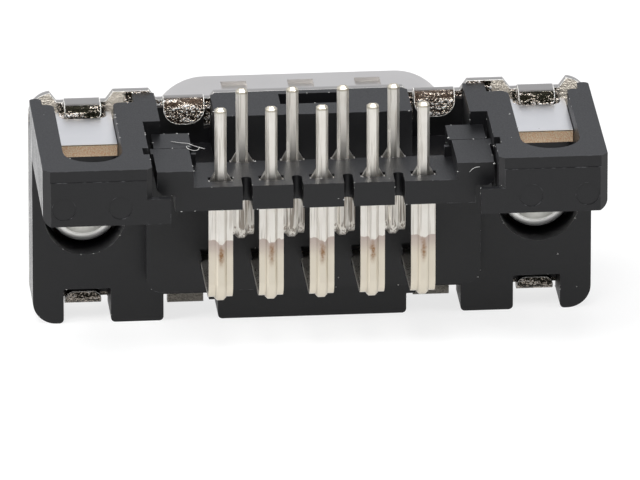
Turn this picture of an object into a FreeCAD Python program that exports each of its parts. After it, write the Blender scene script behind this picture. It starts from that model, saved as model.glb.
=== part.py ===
import FreeCAD, Part
import math
import os
import re
import Sketcher

# Nine-way right-angle male D-sub connector for a circuit board, lying with its board side up.
# Units are millimetres. The origin is where the axis of the D-shaped shell meets the front face
# of the flange: +X runs along the flange, +Y points out of the mating face and +Z points to the
# circuit board, so the contact tails stand up and the connector rests on its flange and feet.

SIZES = {
    # steel front shell: flange, D-shaped wall and the reliefs in the flange's long edges
    "flange_width": 30.81,
    "flange_height": 12.55,
    "flange_corner": 1.3,
    "sheet": 0.45,
    "hole_spacing": 24.99,
    "flange_hole": 3.1,
    "shell_width": 16.84,
    "shell_height": 8.36,
    "shell_slant": 10,
    "shell_corner": 2.6,
    "shell_wall": 0.38,
    "shell_depth": 6.0,
    "root_chamfer": 0.3,
    "rim_chamfer": 0.1,
    "middle_drop": 0.25,
    "relief_width": 0.35,
    "relief_depth": 0.55,
    "relief_slope": 0.4,
    "stub_place": 6.8,
    "stub_width": 2.0,
    # tabs folded from the flange over the plastic
    "tab_drop": 0.3,
    "bend": 0.15,
    "outer_tab_width": 2.0,
    "outer_tab_reach": 1.85,
    "outer_tab_hang": 0.85,
    "outer_tab_round": 0.5,
    "bottom_tab_reach": 1.3,
    "inner_tab_place": 6.9,
    "inner_tab_width": 2.25,
    "inner_tab_reach": 1.25,
    "inner_tab_hang": 1.45,
    "inner_tab_round": 0.9,
    # grounding dimples pressed into the long walls of the shell
    "dimple_pitch": 3.7,
    "dimple_width": 1.85,
    "dimple_length": 2.2,
    "dimple_depth": 0.22,
    "dimple_place": 4.1,
    # plastic housing: flange plate, feet, raised body and top block
    "housing_inset": 0.005,
    "plate_rear": 3.1,
    "plate_top_drop": 3.05,
    "shoulder_drop": 1.625,
    "foot_outer": 13.7,
    "foot_middle_outer": 11.1,
    "foot_middle_inner": 8.2,
    "foot_centre": 5.2,
    "foot_round": 0.25,
    "outer_gap_height": 2.0,
    "inner_gap_height": 1.55,
    "ledge_place": 5.7,
    "ledge_height": 1.15,
    "tab_wall": 0.35,
    "body_place": 9.2,
    "body_rear": 4.1,
    "body_base": 2.05,
    "body_round": 0.8,
    "funnel_top": 1.45,
    "funnel_base": 0.45,
    "funnel_drop": 0.35,
    "funnel_depth": 1.0,
    "block_place": 5.42,
    "block_front": 0.45,
    "block_slope": 0.35,
    "recess_width": 3.4,
    "recess_front": 0.95,
    "recess_rear": 2.5,
    "recess_depth": 1.3,
    "insulator_front": 0.5,
    "counterbore": 4.5,
    # side brackets that carry the circuit board
    "slab_drop": 0.1,
    "slab_thickness": 3.2,
    "slab_front": 1.9,
    "slab_rear": 12.1,
    "slab_chamfer": 0.42,
    "slab_round": 0.5,
    "hook_inner": 8.5,
    "hook_outer": 9.7,
    "hook_rear": 4.9,
    "slab_inner": 9.45,
    "notch_front": 8.85,
    "notch_rear": 9.85,
    "notch_depth": 0.32,
    "lip_width": 0.65,
    "lip_front": 0.95,
    "lip_round": 0.28,
    "ledge_rear": 1.65,
    "ledge_depth": 0.05,
    "parting_drop": 0.66,
    "parting_step": 0.04,
    "mark_diameter": 1.3,
    "mark_depth": 0.04,
    "mark_rise": 1.0,
    "mark_outer": 1.78,
    "mark_inner": 1.3,
    "slot_width": 3.25,
    "slot_end": 10.75,
    "retainer_inner": 8.45,
    "retainer_top": 1.75,
    "retainer_thickness": 0.35,
    # ground straps
    "strap_width": 3.16,
    "strap_thickness": 0.7,
    "strap_drop": 0.9,
    "strap_rear": 6.05,
    "strap_leg": 2.6,
    "strap_cut_round": 0.45,
    "strap_bend": 0.05,
    # rivet-type threaded inserts
    "insert_bore": 2.3,
    "insert_collar": 4.6,
    "insert_collar_height": 0.35,
    "insert_neck": 3.0,
    "insert_rim": 3.68,
    "insert_rim_height": 0.6,
    "insert_rim_chamfer": 0.2,
    # contacts
    "pitch": 2.77,
    "row_gap": 2.84,
    "pin_diameter": 1.02,
    "pin_reach": 5.6,
    "pin_chamfer": 0.3,
    "pin_root": 1.0,
    "shank_rear": 3.0,
    "strip_width": 1.33,
    "gauge": 0.25,
    "rib_width": 0.64,
    "rib_height": 0.2,
    "rib_chamfer": 0.15,
    "strip_bend": 0.8,
    "long_drop": 1.32,
    "short_drop": 1.68,
    "long_reach": 9.5,
    "tail_row_gap": 2.84,
    "tail_width": 0.64,
    "tail_stand": 2.45,
    "tail_bevel": 0.16,
    "shoulder_width": 1.2,
    "shoulder_height": 0.5,
    "shoulder_sink": 0.12,
    # tine plate that holds the tails in line
    "tine_half_width": 8.2,
    "tine_front": 6.95,
    "tine_rear": 10.65,
    "tine_thickness": 1.37,
    "tine_drop": 1.71,
    "tine_hole_depth": 0.67,
    "tine_front_notch": 0.1,
    "tine_slot_width": 0.55,
    "tine_slot_depth": 1.4,
    "arm_inner": 7.2,
    "arm_outer": 9.2,
    "arm_front_inner": 7.05,
    "arm_front_outer": 9.1,
    "arm_top_rise": 0.96,
    "arm_depth": 1.35,
    "arm_split": 7.1,
    "arm_groove": 0.06,
    "nib_reach": 0.12,
    "nib_length": 0.8,
    "arm_chamfer": 0.3,
    "upstand_width": 0.4,
    "upstand_height": 0.6,
    "upstand_length": 0.25,
    "tine_shift": 0.1,
    # clearances
    "fit": 0.03,
    "shell_fit": 0.05,
    "seat": 0.02,
    "tab_gap": 0.1,
    "past": 1.0,
}

# Heights and depths that several pieces share, worked out from the sizes above.
EDGE = "(flange_height / 2)"
FLOOR = "(-flange_height / 2)"
HOLE = "(hole_spacing / 2)"
BACK = "(-sheet)"
TAB_TOP = f"({EDGE} - tab_drop)"
WALL_TOP = f"({TAB_TOP} - sheet - bend)"
SLAB_TOP = f"({EDGE} - slab_drop)"
SLAB_BASE = f"({SLAB_TOP} - slab_thickness)"
PLATE_TOP = f"({EDGE} - plate_top_drop)"
SHOULDER_TOP = f"({EDGE} - shoulder_drop)"
BLOCK_TOP = f"({EDGE} - middle_drop)"
STRAP_TOP = f"({EDGE} - strap_drop)"
STRAP_BASE = f"({STRAP_TOP} - strap_thickness)"
LEG_REAR = "(-sheet - seat - strap_thickness)"
TINE_TOP = f"({SLAB_TOP} - tine_drop)"
TINE_BASE = f"({TINE_TOP} - tine_thickness)"
ARM_TOP = f"({TINE_TOP} + arm_top_rise)"
TAIL_TOP = f"({SLAB_TOP} + tail_stand)"
RISE = "(shell_height / 2)"
LEAN = "(shell_height / 2 * tan(shell_slant))"
MIDDLE = ("(shell_width / 2 - (shell_height / 2 - shell_corner) * tan(shell_slant)"
          " - shell_corner * (1 - 1 / cos(shell_slant)))")

doc = FreeCAD.newDocument("dsub_connector")
sheet = doc.addObject("Spreadsheet::Sheet", "Sizes")
for row, (alias, size) in enumerate(SIZES.items(), start=1):
    sheet.set(f"A{row}", alias)
    sheet.set(f"B{row}", str(size))
    sheet.setAlias(f"B{row}", alias)
doc.recompute()


def bind(text):
    """Writes an expression of size names as one that reads the sheet's cells."""
    return re.sub(r"[a-z][a-z_]*", lambda word: ("Sizes." if word[0] in SIZES else "") + word[0], str(text))


def measure(text):
    """Gives the number that an expression of size names stands for."""
    return float(doc.getObject("Reader").evalExpression(bind(text)))


def new_body(label, x="0"):
    """Makes the body of one piece and binds its place along the flange."""
    body = doc.addObject("PartDesign::Body", label)
    body.Label = label
    body.setExpression("Placement.Base.x", bind(x))
    return body


def outline(body, plane, name, loops, level):
    """Draws closed loops of points, or circles, each bound to the sheet, on one of the body's own planes."""
    sketch = body.newObject("Sketcher::SketchObject", name)
    support = next(item for item in body.Origin.OriginFeatures if item.Role == plane + "_Plane")
    sketch.AttachmentSupport = [(support, "")]
    sketch.MapMode = "FlatFace"
    sketch.setExpression("AttachmentOffset.Base.z", bind(level))
    for loop in loops:
        if loop[0] == "circle":
            add_circle(sketch, *loop[1:])
        elif loop[0] == "rounded":
            add_rounded(sketch, *loop[1:])
        else:
            add_polygon(sketch, loop)
    return sketch


def add_circle(sketch, across, up, diameter):
    """Adds a circle whose centre and diameter are bound to the sheet."""
    centre = FreeCAD.Vector(measure(across), measure(up), 0)
    item = sketch.addGeometry(Part.Circle(centre, FreeCAD.Vector(0, 0, 1), measure(diameter) / 2))
    constraints = [
        Sketcher.Constraint("DistanceX", -1, 1, item, 3, centre.x),
        Sketcher.Constraint("DistanceY", -1, 1, item, 3, centre.y),
        Sketcher.Constraint("Diameter", item, measure(diameter)),
    ]
    first = sketch.ConstraintCount
    sketch.addConstraint(constraints)
    for step, text in enumerate((across, up, diameter)):
        sketch.setExpression(f"Constraints[{first + step}]", bind(text))


def add_polygon(sketch, points, construction=False):
    """Adds a closed polygon, each corner held to the sketch's origin by two bound distances."""
    corners = [FreeCAD.Vector(measure(across), measure(up), 0) for across, up in points]
    count = len(corners)
    lines = [Part.LineSegment(corners[i], corners[(i + 1) % count]) for i in range(count)]
    items = sketch.addGeometry(lines, construction)
    joins = [Sketcher.Constraint("Coincident", items[i], 2, items[(i + 1) % count], 1) for i in range(count)]
    sketch.addConstraint(joins)
    first = sketch.ConstraintCount
    distances = []
    for item, corner in zip(items, corners):
        distances.append(Sketcher.Constraint("DistanceX", -1, 1, item, 1, corner.x))
        distances.append(Sketcher.Constraint("DistanceY", -1, 1, item, 1, corner.y))
    sketch.addConstraint(distances)
    for i, (across, up) in enumerate(points):
        sketch.setExpression(f"Constraints[{first + 2 * i}]", bind(across))
        sketch.setExpression(f"Constraints[{first + 2 * i + 1}]", bind(up))
    return items


def add_rounded(sketch, points, radii):
    """Adds a polygon with arcs at its corners, drawn on construction lines that are bound to the sheet.

    One radius serves every corner, or a list gives one for each, with None where the corner is sharp.
    """
    corners = [FreeCAD.Vector(measure(across), measure(up), 0) for across, up in points]
    count = len(corners)
    if isinstance(radii, str):
        radii = [radii] * count
    guides = add_polygon(sketch, points, True)
    arcs = []
    for i, corner in enumerate(corners):
        arcs.append(corner_arc(corners[i - 1], corner, corners[(i + 1) % count], radii[i]))
    items = [sketch.addGeometry(counterclockwise(*arc)) if arc else None for arc in arcs]
    for i in range(count):
        following = (i + 1) % count
        start = arcs[i][2] if arcs[i] else corners[i]
        end = arcs[following][0] if arcs[following] else corners[following]
        line = sketch.addGeometry(Part.LineSegment(start, end))
        join_end(sketch, line, 1, items[i], start, guides[i], 1)
        join_end(sketch, line, 2, items[following], end, guides[i], 2)
    for item, radius in zip(items, radii):
        if item is not None:
            place = sketch.addConstraint(Sketcher.Constraint("Radius", item, measure(radius)))
            sketch.setExpression(f"Constraints[{place}]", bind(radius))


def corner_arc(before, corner, after, radius):
    """Gives the start, middle and end of the arc that rounds a corner, or nothing for a sharp one."""
    if radius is None:
        return None
    size = measure(radius)
    back = (before - corner).normalize()
    ahead = (after - corner).normalize()
    half_angle = back.getAngle(ahead) / 2
    trim = size / math.tan(half_angle)
    centre = corner + (back + ahead).normalize() * (size / math.sin(half_angle))
    middle = centre + (corner - centre).normalize() * size
    return corner + back * trim, middle, corner + ahead * trim


def counterclockwise(start, middle, end):
    """Makes the arc through three points, always drawn counterclockwise, as a sketch needs it."""
    turn = (middle - start).cross(end - middle).z
    return Part.Arc(start, middle, end) if turn > 0 else Part.Arc(end, middle, start)


def join_end(sketch, line, end, arc, point, guide, guide_end):
    """Joins one end of a line to its arc, tangent and on the guide line, or to the guide's sharp corner."""
    if arc is None:
        sketch.addConstraint(Sketcher.Constraint("Coincident", line, end, guide, guide_end))
        return
    sketch.addConstraint([
        Sketcher.Constraint("Tangent", line, end, arc, arc_end(sketch, arc, point)),
        Sketcher.Constraint("PointOnObject", line, end, guide),
    ])


def arc_end(sketch, item, point):
    """Tells which end of an arc, 1 or 2, lies at a point."""
    return 1 if (sketch.Geometry[item].StartPoint - point).Length < 1e-6 else 2


def box(left, right, low, high):
    """Gives the four corners of a rectangle."""
    return [(left, low), (right, low), (right, high), (left, high)]


def mirrored(points):
    """Gives a loop together with its mirror image across the middle of the connector."""
    return [points, [(f"-({across})", up) for across, up in reversed(points)]]


def both_sides(left, right, low, high):
    """Gives a rectangle on each side of the middle."""
    return mirrored(box(left, right, low, high))


def prism(body, kind, plane, name, loops, low, high):
    """Pads or pockets loops between two levels along X, Y or Z, and checks that the solid changed."""
    level = f"-({high})" if plane == "XZ" else low
    sketch = outline(body, plane, name + "_outline", loops, level)
    before = body.Tip.Shape.Volume if body.Tip else 0.0
    feature = body.newObject("PartDesign::" + kind, name)
    feature.Profile = sketch
    feature.Reversed = kind == "Pocket"
    feature.setExpression("Length", bind(f"({high}) - ({low})"))
    doc.recompute()
    if feature.Shape.isNull() or not feature.Shape.isValid():
        raise ValueError(f"{body.Label}: {name} failed")
    change = feature.Shape.Volume - before
    if change * (1 if kind == "Pad" else -1) <= 0:
        raise ValueError(f"{body.Label}: {name} changed nothing")
    return feature


def pad(body, plane, name, loops, low, high):
    """Adds material between two levels."""
    return prism(body, "Pad", plane, name, loops, low, high)


def pocket(body, plane, name, loops, low, high):
    """Removes material between two levels."""
    return prism(body, "Pocket", plane, name, loops, low, high)


def soften(body, kind, name, size, wanted):
    """Fillets or chamfers the edges of the last feature that the test picks."""
    base = body.Tip
    edges = [f"Edge{i}" for i, edge in enumerate(base.Shape.Edges, start=1) if wanted(edge)]
    if not edges:
        raise ValueError(f"{body.Label}: {name} found no edge")
    feature = body.newObject("PartDesign::" + kind, name)
    feature.Base = (base, edges)
    feature.setExpression("Radius" if kind == "Fillet" else "Size", bind(size))
    doc.recompute()
    if feature.Shape.isNull() or not feature.Shape.isValid():
        raise ValueError(f"{body.Label}: {name} failed")
    return feature


def runs_along(edge, axis):
    """Tells whether an edge is straight and parallel to an axis."""
    if not isinstance(edge.Curve, Part.Line):
        return False
    run = edge.Vertexes[-1].Point - edge.Vertexes[0].Point
    return abs(abs(getattr(run, axis)) - run.Length) < 1e-6


def sits_at(edge, **places):
    """Tells whether an edge's middle has the given coordinates."""
    middle = edge.CenterOfMass
    return all(abs(getattr(middle, axis) - value) < 1e-4 for axis, value in places.items())


def d_shape(gap):
    """Gives the corners of the D, grown by a gap: the narrow side is the upper one, towards the board."""
    reach = f"({RISE} + ({gap}))"
    slide = f"(({gap}) / cos(shell_slant))"
    wide = f"({MIDDLE} + {slide} + {reach} * tan(shell_slant))"
    narrow = f"({MIDDLE} + {slide} - {reach} * tan(shell_slant))"
    return [(f"-{narrow}", reach), (f"-{wide}", f"-{reach}"), (wide, f"-{reach}"), (narrow, reach)]


def edge_row(edge, points):
    """Tells whether an edge runs along Y through one of the corners of a loop."""
    if not runs_along(edge, "y"):
        return False
    middle = edge.CenterOfMass
    return any(abs(middle.x - x) < 1e-4 and abs(middle.z - z) < 1e-4 for x, z in points)


def corner_places(points):
    """Gives the corners of a loop as numbers."""
    return [(measure(across), measure(up)) for across, up in points]


def relief(place, width, up):
    """Gives the notch that the flange's edge has at a folded tab, with a slope on either side."""
    half = f"({width} / 2)"
    level = f"({up} * ({TAB_TOP} - 2 * bend - sheet))"
    deep = f"({up} * ({EDGE} - relief_depth))"
    beyond = f"({up} * ({EDGE} + past))"
    edge = f"({up} * {EDGE})"
    return [
        (f"{place} - {half} - relief_width - relief_slope", beyond),
        (f"{place} - {half} - relief_width - relief_slope", edge),
        (f"{place} - {half} - relief_width", deep),
        (f"{place} - {half}", deep),
        (f"{place} - {half}", level),
        (f"{place} + {half}", level),
        (f"{place} + {half}", deep),
        (f"{place} + {half} + relief_width", deep),
        (f"{place} + {half} + relief_width + relief_slope", edge),
        (f"{place} + {half} + relief_width + relief_slope", beyond),
    ]


def stub_notches():
    """Gives the two notches beside the short stub that the lower edge has in place of an inner tab."""
    loops = []
    for hand in (-1, 1):
        near = f"stub_place + {hand} * stub_width / 2"
        far = f"stub_place + {hand} * (stub_width / 2 + relief_width)"
        slope = f"stub_place + {hand} * (stub_width / 2 + relief_width + relief_slope)"
        deep = f"({FLOOR} + relief_depth)"
        beyond = f"({FLOOR} - past)"
        loops += mirrored([(near, beyond), (near, deep), (far, deep), (slope, FLOOR), (slope, beyond)])
    return loops


def fold_tab(body, name, place, width, reach, hang, corner, up):
    """Folds one tab of the flange back over the plastic and down behind it, with its tip rounded."""
    top = f"{up} * {TAB_TOP}"
    under = f"{up} * ({TAB_TOP} - sheet)"
    tip = f"{up} * ({TAB_TOP} - {hang})"
    root = f"{up} * ({TAB_TOP} - 2 * bend - sheet)"
    profile = [
        ("0", root), ("0", top), (f"-{reach}", top), (f"-{reach}", tip),
        (f"-{reach} + sheet", tip), (f"-{reach} + sheet", under), (BACK, under), (BACK, root),
    ]
    left = f"{place} - {width} / 2"
    right = f"{place} + {width} / 2"
    outside = "bend + sheet"
    radii = [None, outside, outside, None, None, "bend", "bend", None]
    pad(body, "YZ", name, [("rounded", profile, radii)], left, right)
    ends = (measure(left), measure(right))
    soften(body, "Fillet", name + "_tip", corner, lambda edge: runs_along(edge, "y")
           and sits_at(edge, z=measure(tip)) and min(abs(edge.CenterOfMass.x - end) for end in ends) < 1e-4
           and edge.CenterOfMass.y < measure(BACK) - 1e-4)


def make_front_shell():
    """Steel front shell: flange with folded tabs and a drawn D-shaped wall round the pins."""
    body = new_body("front_shell")
    pad(body, "XZ", "flange", [box("-flange_width / 2", "flange_width / 2", FLOOR, EDGE)], BACK, "0")
    corners = corner_places(box("-flange_width / 2", "flange_width / 2", FLOOR, EDGE))
    soften(body, "Fillet", "flange_corners", "flange_corner", lambda edge: edge_row(edge, corners))
    notches = stub_notches()
    for hand in (-1, 1):
        notches.append(relief(f"{hand} * {HOLE}", "outer_tab_width", 1))
        notches.append(relief(f"{hand} * {HOLE}", "outer_tab_width", -1))
        notches.append(relief(f"{hand} * inner_tab_place", "inner_tab_width", 1))
    pocket(body, "XZ", "edge_reliefs", notches, BACK, "0")
    calm = "(inner_tab_place - inner_tab_width / 2 - relief_width)"
    middle = [box(f"-{calm}", calm, f"{EDGE} - middle_drop", f"{EDGE} + past")]
    pocket(body, "XZ", "middle_edge", middle, BACK, "0")
    pad(body, "XZ", "wall", [("rounded", d_shape("shell_wall"), "shell_corner + shell_wall")], BACK, "shell_depth")
    soften(body, "Chamfer", "wall_root", "root_chamfer", lambda edge: edge.BoundBox.YLength < 1e-6
           and abs(edge.CenterOfMass.y) < 1e-6
           and edge.BoundBox.ZMax < measure(f"{RISE} + shell_wall") + 1e-4
           and edge.BoundBox.ZMin > -measure(f"{RISE} + shell_wall") - 1e-4
           and max(abs(edge.BoundBox.XMin), abs(edge.BoundBox.XMax)) < measure(f"{MIDDLE} + {LEAN} + sheet"))
    pocket(body, "XZ", "mouth", [("rounded", d_shape("0"), "shell_corner")], BACK, "shell_depth")
    depth = measure("shell_depth")
    soften(body, "Chamfer", "rim", "rim_chamfer", lambda edge: edge.BoundBox.YLength < 1e-6
           and abs(edge.CenterOfMass.y - depth) < 1e-6)
    holes = [("circle", f"{hand} * {HOLE}", "0", "flange_hole") for hand in (-1, 1)]
    pocket(body, "XZ", "insert_holes", holes, BACK, "0")
    press_dimples(body)
    for hand, side in ((-1, "left"), (1, "right")):
        place = f"{hand} * {HOLE}"
        fold_tab(body, f"outer_tab_{side}", place, "outer_tab_width", "outer_tab_reach",
                 "outer_tab_hang", "outer_tab_round", 1)
        fold_tab(body, f"bottom_tab_{side}", place, "outer_tab_width", "bottom_tab_reach",
                 "outer_tab_hang", "outer_tab_round", -1)
        fold_tab(body, f"inner_tab_{side}", f"{hand} * inner_tab_place", "inner_tab_width",
                 "inner_tab_reach", "inner_tab_hang", "inner_tab_round", 1)
    return body


def press_dimples(body):
    """Three dimples in each long wall: a boss inside and a hollow of the same depth outside."""
    low = "(dimple_place - dimple_length / 2)"
    high = "(dimple_place + dimple_length / 2)"
    bosses = []
    hollows = []
    for step in (-1, 0, 1):
        left = f"{step} * dimple_pitch - dimple_width / 2"
        right = f"{step} * dimple_pitch + dimple_width / 2"
        bosses.append(box(left, right, low, high))
        hollows.append(box(f"{left} + dimple_depth", f"{right} - dimple_depth",
                           f"{low} + dimple_depth", f"{high} - dimple_depth"))
    for word, up in (("upper", 1), ("lower", -1)):
        inside = (f"{RISE} - dimple_depth", RISE) if up > 0 else (f"-{RISE}", f"-{RISE} + dimple_depth")
        outside = (f"{RISE} + shell_wall - dimple_depth", f"{RISE} + shell_wall")
        if up < 0:
            outside = (f"-{RISE} - shell_wall", f"-{RISE} - shell_wall + dimple_depth")
        pad(body, "XY", f"{word}_bosses", bosses, *inside)
        pocket(body, "XY", f"{word}_hollows", hollows, *outside)


def make_housing():
    """Black housing in one moulding: flange plate on feet, raised body, insulator and two brackets."""
    body = new_body("housing")
    half = "(flange_width / 2 - housing_inset)"
    plate = [
        (f"-{half}", FLOOR), ("-foot_outer", FLOOR), ("-foot_outer", f"{FLOOR} + outer_gap_height"),
        ("-foot_middle_outer", f"{FLOOR} + outer_gap_height"), ("-foot_middle_outer", FLOOR),
        ("-foot_middle_inner", FLOOR), ("-foot_middle_inner", f"{FLOOR} + inner_gap_height"),
        ("-ledge_place", f"{FLOOR} + inner_gap_height"), ("-ledge_place", f"{FLOOR} + ledge_height"),
        ("-foot_centre", f"{FLOOR} + ledge_height"), ("-foot_centre", FLOOR),
    ]
    right = [(across[1:], up) for across, up in reversed(plate)]
    outer = plate + right + [(half, PLATE_TOP), (f"-{half}", PLATE_TOP)]
    rear = "-plate_rear"
    pad(body, "XZ", "flange_plate", [outer], rear, BACK)
    low = corner_places([(half, FLOOR), (f"-{half}", FLOOR)])
    soften(body, "Fillet", "lower_corners", "flange_corner", lambda edge: edge_row(edge, low))
    feet = corner_places([(f"{hand} * {place}", FLOOR) for hand in (-1, 1)
                          for place in ("foot_outer", "foot_middle_outer", "foot_middle_inner", "foot_centre")])
    soften(body, "Fillet", "foot_corners", "foot_round", lambda edge: edge_row(edge, feet))
    pad(body, "XZ", "raised_body", [box("-body_place", "body_place", f"{FLOOR} + body_base", PLATE_TOP)],
        "-body_rear", rear)
    lower = corner_places([(f"{hand} * body_place", f"{FLOOR} + body_base") for hand in (-1, 1)])
    soften(body, "Fillet", "body_corners", "body_round", lambda edge: edge_row(edge, lower))
    pad(body, "XZ", "shoulders", both_sides("hook_inner", half, PLATE_TOP, SHOULDER_TOP),
        "-slab_front - past", BACK)
    inner_end = "inner_tab_place - inner_tab_width / 2"
    pad(body, "XZ", "tab_walls", both_sides(inner_end, "hook_inner", PLATE_TOP, WALL_TOP),
        f"{BACK} - tab_wall", BACK)
    add_brackets(body, half)
    add_top_block(body)
    add_insulator(body)
    add_tab_walls(body)
    cut_insert_seats(body)
    cut_contact_ways(body)
    return body


def add_brackets(body, half):
    """Two bracket slabs, each with a slot open to the front, a hook inwards and a lip outwards."""
    plan = [
        ("hook_inner", BACK), ("hook_inner", "-hook_rear"), ("slab_inner", "-hook_rear"),
        ("slab_inner", "-notch_front"), ("slab_inner + notch_depth", "-notch_front"),
        ("slab_inner + notch_depth", "-notch_rear"), ("slab_inner", "-notch_rear"),
        ("slab_inner", "-slab_rear + notch_depth"), ("slab_inner + notch_depth", "-slab_rear"),
        (f"{half} - slab_chamfer", "-slab_rear"), (half, "-slab_rear + slab_chamfer"),
        (half, "-lip_front"), (f"{half} - lip_width", "-lip_front"),
        (f"{half} - lip_width", "-slab_front"), ("hook_outer", "-slab_front"), ("hook_outer", BACK),
    ]
    pad(body, "XY", "bracket_slabs", mirrored(plan), SLAB_BASE, SLAB_TOP)
    edge = measure(half)
    base = measure(SLAB_BASE)
    soften(body, "Fillet", "slab_lower_edges", "slab_round", lambda item: runs_along(item, "y")
           and abs(abs(item.CenterOfMass.x) - edge) < 1e-4 and sits_at(item, z=base))
    centre = "(-slot_end + slot_width / 2)"
    slots = []
    ends = []
    for hand in (-1, 1):
        place = f"{hand} * {HOLE}"
        slots.append(box(f"{place} - slot_width / 2", f"{place} + slot_width / 2", centre, "-slab_front"))
        ends.append(("circle", place, centre, "slot_width"))
    pocket(body, "XY", "slots", slots, SHOULDER_TOP, f"{SLAB_TOP} + past")
    pocket(body, "XY", "slot_ends", ends, SLAB_BASE, SLAB_TOP)
    under = []
    for hand in (-1, 1):
        place = f"{hand} * {HOLE}"
        under.append(box(f"{place} - slot_width / 2", f"{place} + slot_width / 2", centre, "-slab_front - past"))
    pocket(body, "XY", "slot_throats", under, SLAB_BASE, SHOULDER_TOP)
    soften(body, "Fillet", "slot_mouths", "0.45 * (slot_width / 2 - (strap_width - outer_tab_width) / 2)",
           lambda item: runs_along(item, "z") and sits_at(item, y=-measure("slab_front"))
           and abs(abs(abs(item.CenterOfMass.x) - measure(HOLE)) - measure("slot_width / 2")) < 1e-4)
    front = -measure("lip_front")
    soften(body, "Fillet", "lip_fronts", "lip_round", lambda item: runs_along(item, "z") and sits_at(item, y=front))
    ledges = both_sides("hook_inner - past", "hook_outer", "-ledge_rear", BACK)
    pocket(body, "XY", "hook_ledges", ledges, f"{SLAB_TOP} - ledge_depth", f"{SLAB_TOP} + past")
    step = both_sides("slab_inner - past", f"{half} + past", f"{SLAB_TOP} - parting_drop", f"{SLAB_TOP} + past")
    pocket(body, "XZ", "parting_steps", step, "-slab_rear - past", "-slab_rear + parting_step")
    marks = []
    for hand in (-1, 1):
        for place in ("mark_outer", "-mark_inner"):
            marks.append(("circle", f"{hand} * ({HOLE} + {place})", f"{SLAB_BASE} + mark_rise", "mark_diameter"))
    pocket(body, "XZ", "ejector_marks", marks, "-slab_rear", "-slab_rear + mark_depth")
    retainer = both_sides("retainer_inner", "slab_inner + notch_depth", SLAB_BASE, f"{SLAB_TOP} - retainer_top")
    pad(body, "XZ", "retainers", retainer, "-slab_rear", "-slab_rear + retainer_thickness")


def add_top_block(body):
    """Block over the pins with slanted front corners and a rectangular recess in its top."""
    plan = [
        ("-block_place", "-body_rear"), ("block_place", "-body_rear"), ("block_place", "-block_front - block_slope"),
        ("block_place - block_slope", "-block_front"), ("-block_place + block_slope", "-block_front"),
        ("-block_place", "-block_front - block_slope"),
    ]
    pad(body, "XY", "top_block", [plan], PLATE_TOP, BLOCK_TOP)
    hollow = [box("-recess_width / 2", "recess_width / 2", "-recess_rear", "-recess_front")]
    pocket(body, "XY", "top_recess", hollow, f"{BLOCK_TOP} - recess_depth", BLOCK_TOP)


def add_insulator(body):
    """D-shaped face that fills the shell's mouth behind the pins."""
    shape = ("rounded", d_shape("-shell_fit"), "shell_corner - shell_fit")
    pad(body, "XZ", "insulator", [shape], f"{BACK} - tab_wall", "insulator_front")


def add_tab_walls(body):
    """Thin walls that the tabs under the flange plate fold round."""
    wall = f"{FLOOR} + tab_drop + sheet + bend"
    lugs = both_sides("foot_middle_outer", "foot_outer", wall, f"{FLOOR} + outer_gap_height")
    pad(body, "XZ", "lower_tab_walls", lugs, f"{BACK} - tab_wall", BACK)


def cut_insert_seats(body):
    """Counterbores behind the inserts, and recesses in front for the legs of the ground straps."""
    seats = [("circle", f"{hand} * {HOLE}", "0", "counterbore") for hand in (-1, 1)]
    pocket(body, "XZ", "counterbores", seats, "-plate_rear", LEG_REAR)
    legs = []
    for hand in (-1, 1):
        place = f"{hand} * {HOLE}"
        legs.append(box(f"{place} - strap_width / 2 - fit", f"{place} + strap_width / 2 + fit",
                        "-strap_leg - fit", SHOULDER_TOP))
    pocket(body, "XZ", "leg_recesses", legs, f"{LEG_REAR} - fit", BACK)


def cut_contact_ways(body):
    """Ways of the contacts: holes for the pins, rooms for the shanks, slots for the strips, and funnels."""
    holes = []
    rooms = []
    slots = []
    funnels = []
    wide = "(strip_width / 2 + fit)"
    base = f"({FLOOR} + body_base)"
    for number, place, reach, row, drop in contact_places():
        holes.append(("circle", place, row, "pin_diameter + 2 * fit"))
        under = f"{row} - {drop} - rib_height - fit"
        rooms.append(box(f"{place} - {wide}", f"{place} + {wide}", under, f"{row} + pin_diameter / 2 + fit"))
        slots.append(box(f"{place} - {wide}", f"{place} + {wide}", under, f"{row} - {drop} + gauge + fit"))
        if drop == "long_drop":
            funnels.append([
                (f"{place} - funnel_base / 2", base), (f"{place} + funnel_base / 2", base),
                (f"{place} + funnel_top / 2", f"{row} - funnel_drop"),
                (f"{place} - funnel_top / 2", f"{row} - funnel_drop"),
            ])
    pocket(body, "XZ", "pin_holes", holes, "-pin_root - fit", "insulator_front")
    pocket(body, "XZ", "shank_rooms", rooms, "-shank_rear - fit", "-pin_root + fit")
    pocket(body, "XZ", "strip_slots", slots, "-body_rear", "-shank_rear")
    pocket(body, "XZ", "funnels", funnels, "-body_rear", "-body_rear + funnel_depth")


def contact_places():
    """Lists each contact: number, place, reach of its tail, height of its row, drop of its strip."""
    places = []
    for step in range(5):
        places.append((step + 1, f"({step - 2} * pitch)", "long_reach", "(-row_gap / 2)", "long_drop"))
    for step in range(4):
        places.append((step + 6, f"({step - 1.5} * pitch)", "(long_reach - tail_row_gap)",
                       "(row_gap / 2)", "short_drop"))
    return places


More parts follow.
